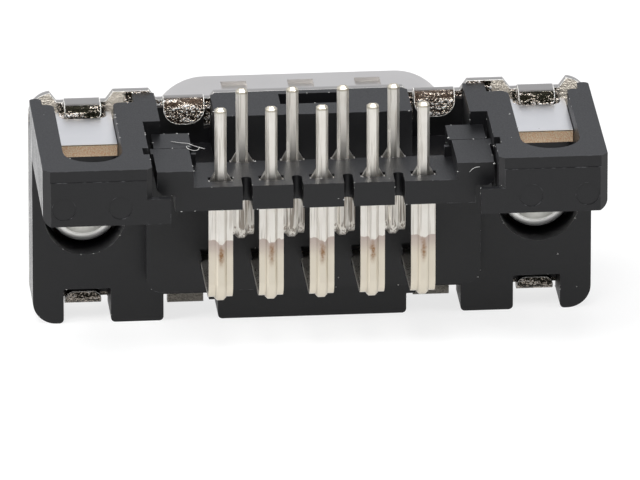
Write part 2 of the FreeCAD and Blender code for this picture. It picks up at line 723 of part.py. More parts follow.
def make_contact(number, place, reach, row, drop):
    """Stamped contact: round pin, shank in the housing, ribbed strip bent up to the board, and tail."""
    body = new_body(f"contact_{number}", place)
    rear = f"(-{reach} - (gauge + rib_height) / 2 + rib_height)"
    low = f"({row} - {drop})"
    strip = [
        ("-pin_root - gauge", low), (rear, low), (rear, TAIL_TOP), (f"{rear} + gauge", TAIL_TOP),
        (f"{rear} + gauge", f"{low} + gauge"), ("-pin_root - gauge", f"{low} + gauge"),
    ]
    wide = ("-strip_width / 2", "strip_width / 2")
    narrow = ("-rib_width / 2", "rib_width / 2")
    outer = "strip_bend + gauge"
    pad(body, "YZ", "strip", [("rounded", strip, [None, outer, None, None, "strip_bend", None])], *wide)
    level = measure(low)
    back = measure(rear)
    cut_shoulders(body, rear)
    rib_back = f"({rear} - rib_height)"
    rib_low = f"({low} - rib_height)"
    rib = [
        ("-pin_root - gauge", rib_low), (rib_back, rib_low), (rib_back, TAIL_TOP),
        (f"{rear} + gauge / 2", TAIL_TOP), (f"{rear} + gauge / 2", f"{low} + gauge / 2"),
        ("-pin_root - gauge", f"{low} + gauge / 2"),
    ]
    outer = "strip_bend + gauge + rib_height"
    inner = "strip_bend + gauge / 2"
    pad(body, "YZ", "rib", [("rounded", rib, [None, outer, None, None, inner, None])], *narrow)
    deep = measure("rib_height")
    soften(body, "Chamfer", "rib_flanks", "rib_chamfer", lambda edge: lies_on_rib(edge, back - deep, level - deep))
    top = measure(TAIL_TOP)
    soften(body, "Chamfer", "tail_tip", "tail_bevel", lambda edge: edge.BoundBox.ZLength < 1e-6
           and abs(edge.CenterOfMass.z - top) < 1e-6)
    shank = [box("-shank_rear", "-pin_root", low, f"{row} + pin_diameter / 2")]
    pad(body, "YZ", "shank", shank, *wide)
    pin = [("circle", "0", row, "pin_diameter")]
    pad(body, "XZ", "pin", pin, "-pin_root - gauge", "pin_reach")
    nose = measure("pin_reach")
    soften(body, "Chamfer", "pin_nose", "pin_chamfer", lambda edge: edge.BoundBox.YLength < 1e-6
           and abs(edge.CenterOfMass.y - nose) < 1e-6)
    return body


def lies_on_rib(edge, back, low):
    """Tells whether an edge is one of the two long outer corners of the rib, the bend included."""
    half = measure("rib_width / 2")
    if abs(edge.BoundBox.XMax - edge.BoundBox.XMin) > 1e-6 or abs(abs(edge.CenterOfMass.x) - half) > 1e-6:
        return False
    radius = measure("strip_bend + gauge + rib_height")
    points = [edge.valueAt(edge.FirstParameter + share * (edge.LastParameter - edge.FirstParameter))
              for share in (0.1, 0.5, 0.9)]
    for point in points:
        on_back = abs(point.y - back) < 1e-4
        on_base = abs(point.z - low) < 1e-4
        from_bend = ((point.y - back - radius) ** 2 + (point.z - low - radius) ** 2) ** 0.5
        if not (on_back or on_base or abs(from_bend - radius) < 1e-4):
            return False
    return True


def cut_shoulders(body, rear):
    """Narrows the strip to the tail, with a sloping shoulder that starts just inside the tine plate."""
    base = f"({TINE_TOP} - shoulder_sink)"
    side = [
        ("strip_width / 2 + past", base), ("shoulder_width / 2", base),
        ("tail_width / 2", f"{base} + shoulder_height"), ("tail_width / 2", f"{TAIL_TOP} + past"),
        ("strip_width / 2 + past", f"{TAIL_TOP} + past"),
    ]
    pocket(body, "XZ", "shoulders", mirrored(side), f"{rear} - past", f"{rear} + gauge + past")


def make_tine_plate():
    """Separate plate under the circuit board that keeps the tails in line, with an arm at each end."""
    body = new_body("tine_plate", "tine_shift")
    pad(body, "XY", "plate", [box("-tine_half_width", "tine_half_width", "-tine_rear", "-tine_front")],
        TINE_BASE, TINE_TOP)
    arm = [
        ("arm_inner", "-tine_rear"), ("arm_outer", "-tine_rear"), ("arm_outer", "-arm_split - nib_length"),
        ("arm_outer + nib_reach", "-arm_split - nib_length"), ("arm_outer + nib_reach", "-arm_split"),
        ("arm_front_outer", "-arm_split"), ("arm_front_outer", "-hook_rear - fit"),
        ("arm_front_inner", "-hook_rear - fit"), ("arm_front_inner", "-arm_split"), ("arm_inner", "-arm_split"),
    ]
    pad(body, "XY", "arms", mirrored(arm), f"{ARM_TOP} - arm_depth", ARM_TOP)
    grooves = both_sides("arm_front_inner - past / 2", "arm_outer", "-arm_split - arm_groove", "-arm_split")
    pocket(body, "XY", "arm_grooves", grooves, f"{ARM_TOP} - 2 * arm_groove", ARM_TOP)
    outer = measure("arm_outer")
    base = measure(f"{ARM_TOP} - arm_depth")
    soften(body, "Chamfer", "arm_chamfers", "arm_chamfer", lambda edge: runs_along(edge, "y")
           and abs(abs(edge.CenterOfMass.x) - outer) < 1e-4 and sits_at(edge, z=base))
    wings = both_sides("arm_inner - upstand_width", "arm_inner", "-tine_front - upstand_length", "-tine_front")
    pad(body, "XY", "upstands", wings, TINE_TOP, f"{TINE_TOP} + upstand_height")
    wide = "(strip_width / 2 + fit)"
    holes = []
    for step in range(5):
        place = f"({step - 2} * pitch - tine_shift)"
        holes.append(box(f"{place} - {wide}", f"{place} + {wide}", "-long_reach - tine_hole_depth / 2",
                         "-long_reach + tine_hole_depth / 2"))
    pocket(body, "XY", "tail_holes", holes, TINE_BASE, TINE_TOP)
    notches = []
    slots = []
    for step in range(4):
        place = f"({step - 1.5} * pitch - tine_shift)"
        notches.append(box(f"{place} - {wide}", f"{place} + {wide}", "-tine_front - tine_front_notch",
                           "-tine_front"))
        slots.append(box(f"{place} - tine_slot_width / 2", f"{place} + tine_slot_width / 2",
                         "-tine_rear", "-tine_rear + tine_slot_depth"))
    pocket(body, "XY", "front_notches", notches, TINE_BASE, TINE_TOP)
    pocket(body, "XY", "rear_slots", slots, TINE_BASE, TINE_TOP)
    end = measure("-tine_rear + tine_slot_depth")
    soften(body, "Fillet", "slot_rounds", "0.45 * tine_slot_width", lambda edge: runs_along(edge, "z")
           and sits_at(edge, y=end))
    return body


def make_strap(side, hand):
    """Ground strap: a leg behind the flange, held by the insert, and a tongue under the circuit board."""
    body = new_body(f"ground_strap_{side}", f"{hand} * {HOLE}")
    front = "(-sheet - seat)"
    profile = [
        (front, "-strap_leg"), (front, STRAP_TOP), ("-strap_rear", STRAP_TOP), ("-strap_rear", STRAP_BASE),
        (LEG_REAR, STRAP_BASE), (LEG_REAR, "-strap_leg"),
    ]
    radii = [None, "strap_bend + strap_thickness", None, None, "strap_bend", None]
    pad(body, "YZ", "sheet_metal", [("rounded", profile, radii)], "-strap_width / 2", "strap_width / 2")
    gap = "(outer_tab_width / 2 + tab_gap)"
    cut = [box(f"-{gap}", gap, "-outer_tab_reach - tab_gap", "0")]
    pocket(body, "XY", "tab_cut", cut, STRAP_BASE, STRAP_TOP)
    rear = measure("-outer_tab_reach - tab_gap")
    soften(body, "Fillet", "cut_corners", "strap_cut_round", lambda edge: runs_along(edge, "z")
           and sits_at(edge, y=rear))
    hole = [("circle", "0", "0", "flange_hole")]
    pocket(body, "XZ", "insert_hole", hole, LEG_REAR, front)
    return body


def make_insert(side, hand):
    """Turned insert: collar on the front of the flange, neck through flange and strap, rolled rim behind."""
    body = new_body(f"threaded_insert_{side}", f"{hand} * {HOLE}")
    deep = f"({LEG_REAR} - seat)"
    end = f"({deep} - insert_rim_height)"
    half = [
        ("insert_bore / 2", end), ("insert_rim / 2", end), ("insert_rim / 2", deep), ("insert_neck / 2", deep),
        ("insert_neck / 2", "seat"), ("insert_collar / 2", "seat"),
        ("insert_collar / 2", "insert_collar_height"), ("insert_bore / 2", "insert_collar_height"),
    ]
    profile = outline(body, "XY", "half_section", [half], "0")
    turned = body.newObject("PartDesign::Revolution", "turned")
    turned.Profile = profile
    turned.ReferenceAxis = (profile, ["V_Axis"])
    turned.Angle = 360
    doc.recompute()
    back = measure(end)
    soften(body, "Chamfer", "rolled_rim", "insert_rim_chamfer", lambda edge: edge.BoundBox.YLength < 1e-6
           and abs(edge.CenterOfMass.y - back) < 1e-6)
    return body


def write_parts(bodies):
    """Checks the whole document, then writes one file for each piece."""
    doc.recompute()
    for item in doc.Objects:
        if "Invalid" in item.State or "Error" in item.State:
            raise ValueError(f"{item.Label} is {item.State}")
    for body in bodies:
        if body.Shape.isNull() or not body.Shape.isValid() or len(body.Shape.Solids) != 1:
            raise ValueError(f"{body.Label} isn't one valid solid")
    os.makedirs("parts", exist_ok=True)
    for body in bodies:
        body.Shape.exportStep(f"parts/{body.Label}.step")
        print(body.Label, round(body.Shape.Volume, 3))


reader = doc.addObject("App::FeaturePython", "Reader")
pieces = [make_front_shell(), make_housing(), make_tine_plate()]
for side_name, side_hand in (("left", -1), ("right", 1)):
    pieces.append(make_strap(side_name, side_hand))
    pieces.append(make_insert(side_name, side_hand))
for contact in contact_places():
    pieces.append(make_contact(*contact))
write_parts(pieces)
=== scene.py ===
# %% [markdown]
# A right-angle D-sub connector for a circuit board.
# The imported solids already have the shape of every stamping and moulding, so this lesson is
# mostly about finish: tin-plated steel, black glass-filled polyester and tinned contacts. The
# photo shows colour and gloss, not what things are made of, so the materials are likely ones.
# The screw threads, the relieved ends of the straps, the flash that moulding leaves and some
# stray fibre are added as pieces.

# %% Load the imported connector
import bpy
import bmesh
import math
import random
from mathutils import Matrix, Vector


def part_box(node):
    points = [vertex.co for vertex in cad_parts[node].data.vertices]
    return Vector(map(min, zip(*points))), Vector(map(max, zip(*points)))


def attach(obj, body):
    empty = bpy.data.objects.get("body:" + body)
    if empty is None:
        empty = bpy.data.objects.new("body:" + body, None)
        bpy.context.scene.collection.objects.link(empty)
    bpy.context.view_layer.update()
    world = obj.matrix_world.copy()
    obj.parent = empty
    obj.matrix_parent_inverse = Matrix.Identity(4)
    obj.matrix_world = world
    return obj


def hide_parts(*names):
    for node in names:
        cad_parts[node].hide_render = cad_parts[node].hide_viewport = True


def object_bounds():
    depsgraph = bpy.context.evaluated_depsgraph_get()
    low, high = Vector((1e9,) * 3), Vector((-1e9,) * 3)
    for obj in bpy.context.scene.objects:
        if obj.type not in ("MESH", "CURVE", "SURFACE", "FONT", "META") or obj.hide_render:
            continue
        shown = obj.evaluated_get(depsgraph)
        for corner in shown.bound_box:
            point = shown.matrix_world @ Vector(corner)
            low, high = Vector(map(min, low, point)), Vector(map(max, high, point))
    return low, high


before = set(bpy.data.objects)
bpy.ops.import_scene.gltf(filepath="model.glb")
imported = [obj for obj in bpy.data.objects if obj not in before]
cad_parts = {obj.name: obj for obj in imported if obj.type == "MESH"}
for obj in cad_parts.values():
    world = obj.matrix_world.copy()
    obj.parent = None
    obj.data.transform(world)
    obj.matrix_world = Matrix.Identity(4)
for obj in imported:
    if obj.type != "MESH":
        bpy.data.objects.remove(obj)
cad_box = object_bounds()
MM = 0.001
print("nodes:", sorted(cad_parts))
print("box in mm:", [[round(value / MM, 3) for value in corner] for corner in cad_box])

# %% [markdown]
# Colours are given as sRGB hex values, and a shader wants linear light, so one function
# converts them. A second one adds a node, sets its options, fills or links its inputs and gives
# back the output that the next node needs. It knows nothing of any kind of node.

# %% Colour and node helpers
def linear(hex_colour):
    """Turns an sRGB hex colour into linear values."""
    channels = [int(hex_colour[i:i + 2], 16) / 255 for i in (1, 3, 5)]
    return tuple(c / 12.92 if c <= 0.04045 else ((c + 0.055) / 1.055) ** 2.4 for c in channels) + (1.0,)


def add_node(tree, kind, inputs, output=0, **settings):
    """Adds a node, links or fills its inputs, and gives the output asked for, or the node."""
    node = tree.nodes.new(kind)
    for name, setting in settings.items():
        setattr(node, name, setting)
    for name, value in inputs.items():
        if isinstance(value, bpy.types.NodeSocket):
            tree.links.new(value, node.inputs[name])
        else:
            node.inputs[name].default_value = value
    return node if output is None else node.outputs[output]


# %% [markdown]
# Every material here starts the same way: one principled shader, and the place on the object as
# the coordinate, in metres. All solids share one frame, so this place is also the place in the
# whole connector, and a mark can be put at a real distance from the flange. Noise scales are
# given as one over the size of a grain.

# %% Start a material
NOISE, RANGE, MATH, BUMP = "ShaderNodeTexNoise", "ShaderNodeMapRange", "ShaderNodeMath", "ShaderNodeBump"
MIX, SPLIT, SPOTS = "ShaderNodeMix", "ShaderNodeSeparateXYZ", "ShaderNodeTexVoronoi"
SHARE, FIRST, SECOND, MIXED = 0, 6, 7, 2
SMOOTH = {"interpolation_type": "SMOOTHSTEP"}
COLOURS = {"data_type": "RGBA"}


def start_material(name):
    """Makes a material with an empty shader, and gives its tree, shader and coordinate."""
    material = bpy.data.materials.new(name)
    material.use_nodes = True
    tree = material.node_tree
    shader = tree.nodes["Principled BSDF"]
    place = add_node(tree, "ShaderNodeTexCoord", {}, "Object")
    print("material", name)
    return material, tree, shader, place


# %% [markdown]
# The housing is taken to be glass-filled PBT polyester, as such housings usually are, moulded in
# a fine spark-eroded tool. That gives the eye a dull charcoal: faces that catch the sky go grey,
# faces turned away stay black. The grain of such a mould is too fine to show here, so it is drawn
# at 0.08 mm. The outermost side faces are smoother and streaked in the photo, as if they slid
# along the mould when it opened.
# Where two faces meet, the skin is scuffed: a bevel node finds those edges, and noise breaks the
# scuff up. Dust is small pale spots.

# %% Black polyester
SIDE_START = 14.7 * MM
MOULD_DRAG = 0.22 * MM
GRAIN = 0.08 * MM
SCUFF_WIDTH = 0.05 * MM
DUST_PITCH = 1.3 * MM


def edge_share(tree, width):
    """Gives 1 at an outer or inner edge, fading to 0 at the given distance from it."""
    rounded = add_node(tree, "ShaderNodeBevel", {"Radius": width}, samples=8)
    flat = add_node(tree, "ShaderNodeNewGeometry", {}, "True Normal")
    match = add_node(tree, "ShaderNodeVectorMath", {0: rounded, 1: flat}, "Value", operation="DOT_PRODUCT")
    return add_node(tree, RANGE, {"Value": match, "From Min": 0.995, "From Max": 0.9}, **SMOOTH)


def make_black_polyester():
    """Glass-filled PBT polyester, moulded: IOR about 1.5, roughness about 0.44."""
    material, tree, shader, place = start_material("black_polyester")
    cloud = add_node(tree, NOISE, {"Vector": place, "Scale": 1 / (1.8 * MM), "Detail": 3.0})
    grain = add_node(tree, NOISE, {"Vector": place, "Scale": 1 / GRAIN, "Detail": 2.0, "Roughness": 0.6})
    patches = add_node(tree, NOISE, {"Vector": place, "Scale": 1 / (0.45 * MM), "Detail": 2.0})
    base = add_node(
        tree, MIX, {SHARE: cloud, FIRST: linear("#08080A"), SECOND: linear("#0F0F12")}, MIXED, **COLOURS)
    edge = edge_share(tree, SCUFF_WIDTH)
    broken = add_node(
        tree, RANGE, {"Value": patches, "From Min": 0.5, "From Max": 0.72, "To Max": 0.5}, **SMOOTH)
    scuff = add_node(tree, MATH, {0: edge, 1: broken}, operation="MULTIPLY")
    base = add_node(tree, MIX, {SHARE: scuff, FIRST: base, SECOND: linear("#77777A")}, MIXED, **COLOURS)
    spot = add_node(tree, SPOTS, {"Vector": place, "Scale": 1 / DUST_PITCH}, "Distance")
    spot = add_node(tree, RANGE, {"Value": spot, "From Min": 0.034, "From Max": 0.022}, **SMOOTH)
    some = add_node(tree, NOISE, {"Vector": place, "Scale": 1 / (0.9 * MM), "Detail": 0.0})
    some = add_node(
        tree, RANGE, {"Value": some, "From Min": 0.56, "From Max": 0.6, "To Max": 0.75}, **SMOOTH)
    dust = add_node(tree, MATH, {0: spot, 1: some}, operation="MULTIPLY")
    base = add_node(tree, MIX, {SHARE: dust, FIRST: base, SECOND: linear("#C8C8C4")}, MIXED, **COLOURS)
    tree.links.new(base, shader.inputs["Base Color"])
    rough = add_node(
        tree, RANGE, {"Value": grain, "From Min": 0.3, "From Max": 0.7, "To Min": 0.38, "To Max": 0.5})
    facing = add_node(tree, "ShaderNodeNewGeometry", {}, "True Normal")
    sideways = add_node(tree, MATH, {0: add_node(tree, SPLIT, {0: facing}, "X")}, operation="ABSOLUTE")
    polished = add_node(
        tree, RANGE, {"Value": sideways, "From Min": 0.8, "From Max": 0.97, "To Max": 0.3}, **SMOOTH)
    drawn = add_node(tree, "ShaderNodeMapping", {"Vector": place, "Scale": (1.0, 1.0, 0.08)})
    streaks = add_node(tree, NOISE, {"Vector": drawn, "Scale": 1 / MOULD_DRAG, "Detail": 3.0})
    streaks = add_node(tree, RANGE, {"Value": streaks, "From Min": 0.35, "From Max": 0.6})
    polished = add_node(tree, MATH, {0: polished, 1: streaks}, operation="MULTIPLY")
    aside = add_node(tree, MATH, {0: add_node(tree, SPLIT, {0: place}, "X")}, operation="ABSOLUTE")
    outer = add_node(
        tree, RANGE, {"Value": aside, "From Min": SIDE_START, "From Max": SIDE_START + 0.1 * MM})
    polished = add_node(tree, MATH, {0: polished, 1: outer}, operation="MULTIPLY")
    rough = add_node(tree, MATH, {0: rough, 1: polished}, operation="SUBTRACT")
    tree.links.new(rough, shader.inputs["Roughness"])
    shader.inputs["IOR"].default_value = 1.5
    shader.inputs["Specular IOR Level"].default_value = 0.46
    normal = add_node(tree, BUMP, {"Height": grain, "Strength": 0.16, "Distance": 0.02 * MM})
    tree.links.new(normal, shader.inputs["Normal"])
    return material


black_polyester = make_black_polyester()

# %% [markdown]
# The shell is taken to be steel, deep drawn and then plated with tin. Tin over steel is a grey,
# slightly soft metal, and the drawn D stays even. Where the sheet was folded over the plastic it
# has a fine mottle with level creases, as if the plating had stretched and crazed. The creases
# are bumps, and their light and dark are also painted on: painted shade and reflections in dark
# brown, painted glints in white. Only the faces behind the flange that don't look up get it, and
# the painted shade is heavier on the outer tabs and where the folded faces tilt upward. The rims
# behind the flange get a painted highlight. The back of the flange is a dull cream beside the outer
# tabs and on the low stubs, and it scatters light, so it is less of a mirror there. Elsewhere the
# back is crazed too.

# %% Tin-plated steel
CRAZING = 0.12 * MM
FOLD_START = -0.62 * MM
SHEET_BACK = -0.45 * MM
SCREW_PLACE = 12.495 * MM
STUB_TOP = -4.8 * MM
OUTER_TAB_START = 9.6 * MM
CREASE = 0.22 * MM
RIM_HIGHLIGHT = 0.1 * MM
RIM_FRONT = -0.28 * MM


def make_tinned_steel():
    """Tin-plated deep-drawn steel: metallic, roughness 0.36, or 0.22 where it is crazed."""
    material, tree, shader, place = start_material("tinned_steel")
    depth = add_node(tree, SPLIT, {0: place}, "Y")
    facing = add_node(tree, "ShaderNodeNewGeometry", {}, "True Normal")
    upward = add_node(tree, SPLIT, {0: facing}, "Z")
    forward = add_node(tree, SPLIT, {0: facing}, "Y")
    cloud = add_node(tree, NOISE, {"Vector": place, "Scale": 1 / (2.5 * MM), "Detail": 3.0})
    drawn = add_node(
        tree, MIX, {SHARE: cloud, FIRST: linear("#CFCCC9"), SECOND: linear("#DBD8D5")}, MIXED, **COLOURS)
    in_front = add_node(
        tree, RANGE, {"Value": depth, "From Min": -0.3 * MM, "From Max": 0.2 * MM}, **SMOOTH)
    tin = add_node(tree, MIX, {SHARE: in_front, FIRST: linear("#A9A6A3"), SECOND: drawn}, MIXED, **COLOURS)

    behind = add_node(
        tree, RANGE, {"Value": depth, "From Min": FOLD_START, "From Max": FOLD_START - 0.12 * MM}, **SMOOTH)
    turned = add_node(tree, RANGE, {"Value": upward, "From Min": 0.985, "From Max": 0.9}, **SMOOTH)
    sheet_back = add_node(tree, MATH, {0: depth, 1: SHEET_BACK}, operation="SUBTRACT")
    sheet_back = add_node(tree, MATH, {0: sheet_back}, operation="ABSOLUTE")
    sheet_back = add_node(tree, RANGE, {"Value": sheet_back, "From Min": 0.03 * MM, "From Max": 0.01 * MM})
    rearward = add_node(tree, RANGE, {"Value": forward, "From Min": -0.8, "From Max": -0.95})
    sheet_back = add_node(tree, MATH, {0: sheet_back, 1: rearward}, operation="MULTIPLY")
    folded = add_node(tree, MATH, {0: behind, 1: turned}, operation="MULTIPLY")
    folded = add_node(tree, MATH, {0: folded, 1: sheet_back}, operation="MAXIMUM")

    across = add_node(tree, MATH, {0: add_node(tree, SPLIT, {0: place}, "X")}, operation="ABSOLUTE")
    from_screw = add_node(tree, MATH, {0: across, 1: SCREW_PLACE}, operation="SUBTRACT")
    from_screw = add_node(tree, MATH, {0: from_screw}, operation="ABSOLUTE")
    beside = add_node(
        tree, RANGE, {"Value": from_screw, "From Min": 1.15 * MM, "From Max": 1.6 * MM}, **SMOOTH)
    within = add_node(
        tree, RANGE, {"Value": from_screw, "From Min": 2.5 * MM, "From Max": 2.25 * MM}, **SMOOTH)
    dull = add_node(tree, MATH, {0: beside, 1: within}, operation="MULTIPLY")
    rise = add_node(tree, SPLIT, {0: place}, "Z")
    low = add_node(tree, RANGE, {"Value": rise, "From Min": STUB_TOP, "From Max": STUB_TOP - 0.1 * MM})
    inboard = add_node(
        tree, RANGE, {"Value": across, "From Min": OUTER_TAB_START, "From Max": OUTER_TAB_START - 0.2 * MM})
    stub = add_node(tree, MATH, {0: low, 1: inboard}, operation="MULTIPLY")
    dull = add_node(tree, MATH, {0: dull, 1: stub}, operation="MAXIMUM")
    dull = add_node(tree, MATH, {0: dull, 1: sheet_back}, operation="MULTIPLY")

    crazed = add_node(tree, NOISE, {"Vector": place, "Scale": 1 / CRAZING, "Detail": 2.0, "Roughness": 0.7})
    creases = add_node(tree, "ShaderNodeMapping", {"Vector": place, "Scale": (0.2, 1.0, 1.0)})
    creases = add_node(tree, NOISE, {"Vector": creases, "Scale": 1 / CREASE, "Detail": 1.0})
    relief = add_node(tree, MATH, {0: creases, 1: 0.6, 2: crazed}, operation="MULTIPLY_ADD")
    # Painted shade: the crazing turns darker where the folded faces tilt upward.
    bend_shade = add_node(
        tree, RANGE, {"Value": upward, "From Min": 0.2, "From Max": 0.6, "To Max": 0.12}, **SMOOTH)
    relief = add_node(tree, MATH, {0: relief, 1: bend_shade}, operation="SUBTRACT")
    # Painted shade: the outer tabs get darker crazing and a darker shade colour.
    on_outer_tab = add_node(
        tree, RANGE, {"Value": across, "From Min": OUTER_TAB_START, "From Max": OUTER_TAB_START + 0.2 * MM})
    relief = add_node(tree, MATH, {0: on_outer_tab, 1: -0.03, 2: relief}, operation="MULTIPLY_ADD")
    # The dark share mixes in the painted shade colour, the glint share a painted white highlight.
    dark = add_node(tree, RANGE, {"Value": relief, "From Min": 0.86, "From Max": 0.72}, **SMOOTH)
    painted_glint = add_node(tree, RANGE, {"Value": relief, "From Min": 0.88, "From Max": 0.98}, **SMOOTH)
    rim = edge_share(tree, RIM_HIGHLIGHT)
    shade = add_node(
        tree, MIX, {SHARE: on_outer_tab, FIRST: linear("#4A3D33"), SECOND: linear("#24231B")},
        MIXED, **COLOURS)
    mottle = add_node(tree, MIX, {SHARE: dark, FIRST: linear("#CCC0B3"), SECOND: shade}, MIXED, **COLOURS)
    mottle = add_node(tree, MIX, {SHARE: painted_glint, FIRST: mottle, SECOND: linear("#FFFFFF")}, MIXED, **COLOURS)
    base = add_node(tree, MIX, {SHARE: folded, FIRST: tin, SECOND: mottle}, MIXED, **COLOURS)
    base = add_node(tree, MIX, {SHARE: dull, FIRST: base, SECOND: linear("#D9D0C2")}, MIXED, **COLOURS)
    # Painted highlight: near-white on the sheet's edges behind the front of the flange.
    near_back = add_node(
        tree, RANGE, {"Value": depth, "From Min": RIM_FRONT, "From Max": RIM_FRONT - 0.08 * MM})
    rim = add_node(tree, MATH, {0: rim, 1: near_back}, operation="MULTIPLY")
    base = add_node(tree, MIX, {SHARE: rim, FIRST: base, SECOND: linear("#FFFDF8")}, MIXED, **COLOURS)
    tree.links.new(base, shader.inputs["Base Color"])
    # The painted glints and highlights, and the dull cream, are mostly diffuse rather than metal.
    bright = add_node(tree, MATH, {0: painted_glint, 1: folded}, operation="MULTIPLY")
    bright = add_node(tree, MATH, {0: bright, 1: rim}, operation="MAXIMUM")
    scattering = add_node(tree, MATH, {0: dull, 1: bright}, operation="MAXIMUM")
    metal = add_node(tree, RANGE, {"Value": scattering, "To Min": 1.0, "To Max": 0.2})
    tree.links.new(metal, shader.inputs["Metallic"])
    rough = add_node(tree, RANGE, {"Value": folded, "To Min": 0.36, "To Max": 0.22})
    tree.links.new(rough, shader.inputs["Roughness"])
    height = add_node(tree, MATH, {0: relief, 1: folded}, operation="MULTIPLY")
    normal = add_node(tree, BUMP, {"Height": height, "Strength": 1.0, "Distance": 0.14 * MM})
    tree.links.new(normal, shader.inputs["Normal"])
    return material


tinned_steel = make_tinned_steel()

# %% [markdown]
# The ground straps are taken to be phosphor bronze strip, tinned before it was sheared: the flat
# top is bright and even while the sheared rear edge shows bare copper alloy. The edge has a
# bright lip at the top skin, a dark line under it and a fine torn grain below. A few dark specks
# lie on the tin. Round the inserts the strap's leg behind the flange lies in deep shade, with only
# a faint brown gleam under the right rim, and that shade is painted on it: the leg is drawn near
# black. Its real finish there isn't known.

# %% Tinned strap with a bare edge
STRAP_LOW, STRAP_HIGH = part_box("ground_strap_left")
STRAP_REAR, STRAP_TOP = STRAP_LOW[1], STRAP_HIGH[2]
TEAR = 0.06 * MM
BURNISHED = 0.08 * MM
LEG_TOP = 4.6 * MM


def make_tinned_bronze():
    """Tinned bronze strip: satin tin on the faces, sheared bronze on the rear edge."""
    material, tree, shader, place = start_material("tinned_bronze")
    depth = add_node(tree, SPLIT, {0: place}, "Y")
    rise = add_node(tree, SPLIT, {0: place}, "Z")
    bare = add_node(
        tree, RANGE,
        {"Value": depth, "From Min": STRAP_REAR + 0.05 * MM, "From Max": STRAP_REAR + 0.02 * MM})
    skin = add_node(
        tree, RANGE,
        {"Value": rise, "From Min": STRAP_TOP - BURNISHED, "From Max": STRAP_TOP - 0.7 * BURNISHED})
    lip = add_node(
        tree, RANGE, {"Value": rise, "From Min": STRAP_TOP - 0.035 * MM, "From Max": STRAP_TOP - 0.02 * MM})
    tear = add_node(tree, NOISE, {"Vector": place, "Scale": 1 / TEAR, "Detail": 3.0, "Roughness": 0.7})
    torn = add_node(tree, RANGE, {"Value": tear, "From Min": 0.38, "From Max": 0.6})
    bronze = add_node(
        tree, MIX, {SHARE: torn, FIRST: linear("#EDBB8C"), SECOND: linear("#FFEFD6")}, MIXED, **COLOURS)
    bronze = add_node(tree, MIX, {SHARE: skin, FIRST: bronze, SECOND: linear("#6E6252")}, MIXED, **COLOURS)
    cloud = add_node(tree, NOISE, {"Vector": place, "Scale": 1 / (1.4 * MM), "Detail": 2.0})
    tin = add_node(
        tree, MIX, {SHARE: cloud, FIRST: linear("#E5E5E6"), SECOND: linear("#F1F0F0")}, MIXED, **COLOURS)
    spot = add_node(tree, SPOTS, {"Vector": place, "Scale": 1 / (0.9 * MM)}, "Distance")
    spot = add_node(
        tree, RANGE, {"Value": spot, "From Min": 0.04, "From Max": 0.028, "To Max": 0.7}, **SMOOTH)
    tin = add_node(tree, MIX, {SHARE: spot, FIRST: tin, SECOND: linear("#5A554E")}, MIXED, **COLOURS)
    bronze = add_node(tree, MIX, {SHARE: lip, FIRST: bronze, SECOND: linear("#FAF5EE")}, MIXED, **COLOURS)
    base = add_node(tree, MIX, {SHARE: bare, FIRST: tin, SECOND: bronze}, MIXED, **COLOURS)
    # Painted shade: the leg behind the flange is drawn near black.
    leg_in_shade = add_node(tree, RANGE, {"Value": rise, "From Min": LEG_TOP, "From Max": LEG_TOP - 0.4 * MM})
    base = add_node(tree, MIX, {SHARE: leg_in_shade, FIRST: base, SECOND: linear("#1B1815")}, MIXED, **COLOURS)
    tree.links.new(base, shader.inputs["Base Color"])
    shader.inputs["Metallic"].default_value = 1.0
    rough = add_node(tree, RANGE, {"Value": bare, "To Min": 0.34, "To Max": 0.55})
    tree.links.new(rough, shader.inputs["Roughness"])
    height = add_node(tree, MATH, {0: tear, 1: bare}, operation="MULTIPLY")
    normal = add_node(tree, BUMP, {"Height": height, "Strength": 0.7, "Distance": 0.03 * MM})
    tree.links.new(normal, shader.inputs["Normal"])
    return material


tinned_bronze = make_tinned_bronze()

# %% [markdown]
# The contacts are taken to be brass strip with a matte tin plate, nearly white and soft in its
# highlight. Fine drawn lines run down the legs. A band crosses the long legs: bright tin above,
# a mauve-grey edge under it, then a warm cream. The mauve-grey edge is painted shadow of the
# tine plate above, and the cream below it is taken as the edge of the plating. A brown mark sits
# on the rib in the band. The rib's edges get thin lines of painted shade, and the short legs
# under the plate get dark streaks of painted shade. The tails' tips are duller.

# %% Matte tin contacts
LONG_LEG_DEPTH = -9.0 * MM
SHORT_LEG_BACK = -8.9 * MM
BODY_BACK = -5.0 * MM
PLATE_UNDERSIDE = 3.3 * MM
BAND_TOP = 0.92 * MM
CREAM_TOP = -0.4 * MM
BROWN_MARK_MIDDLE = 0.22 * MM
CONTACT_PITCH = 2.77 * MM
RIB_HALF = 0.28 * MM
TAIL_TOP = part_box("contact_1")[1][2]


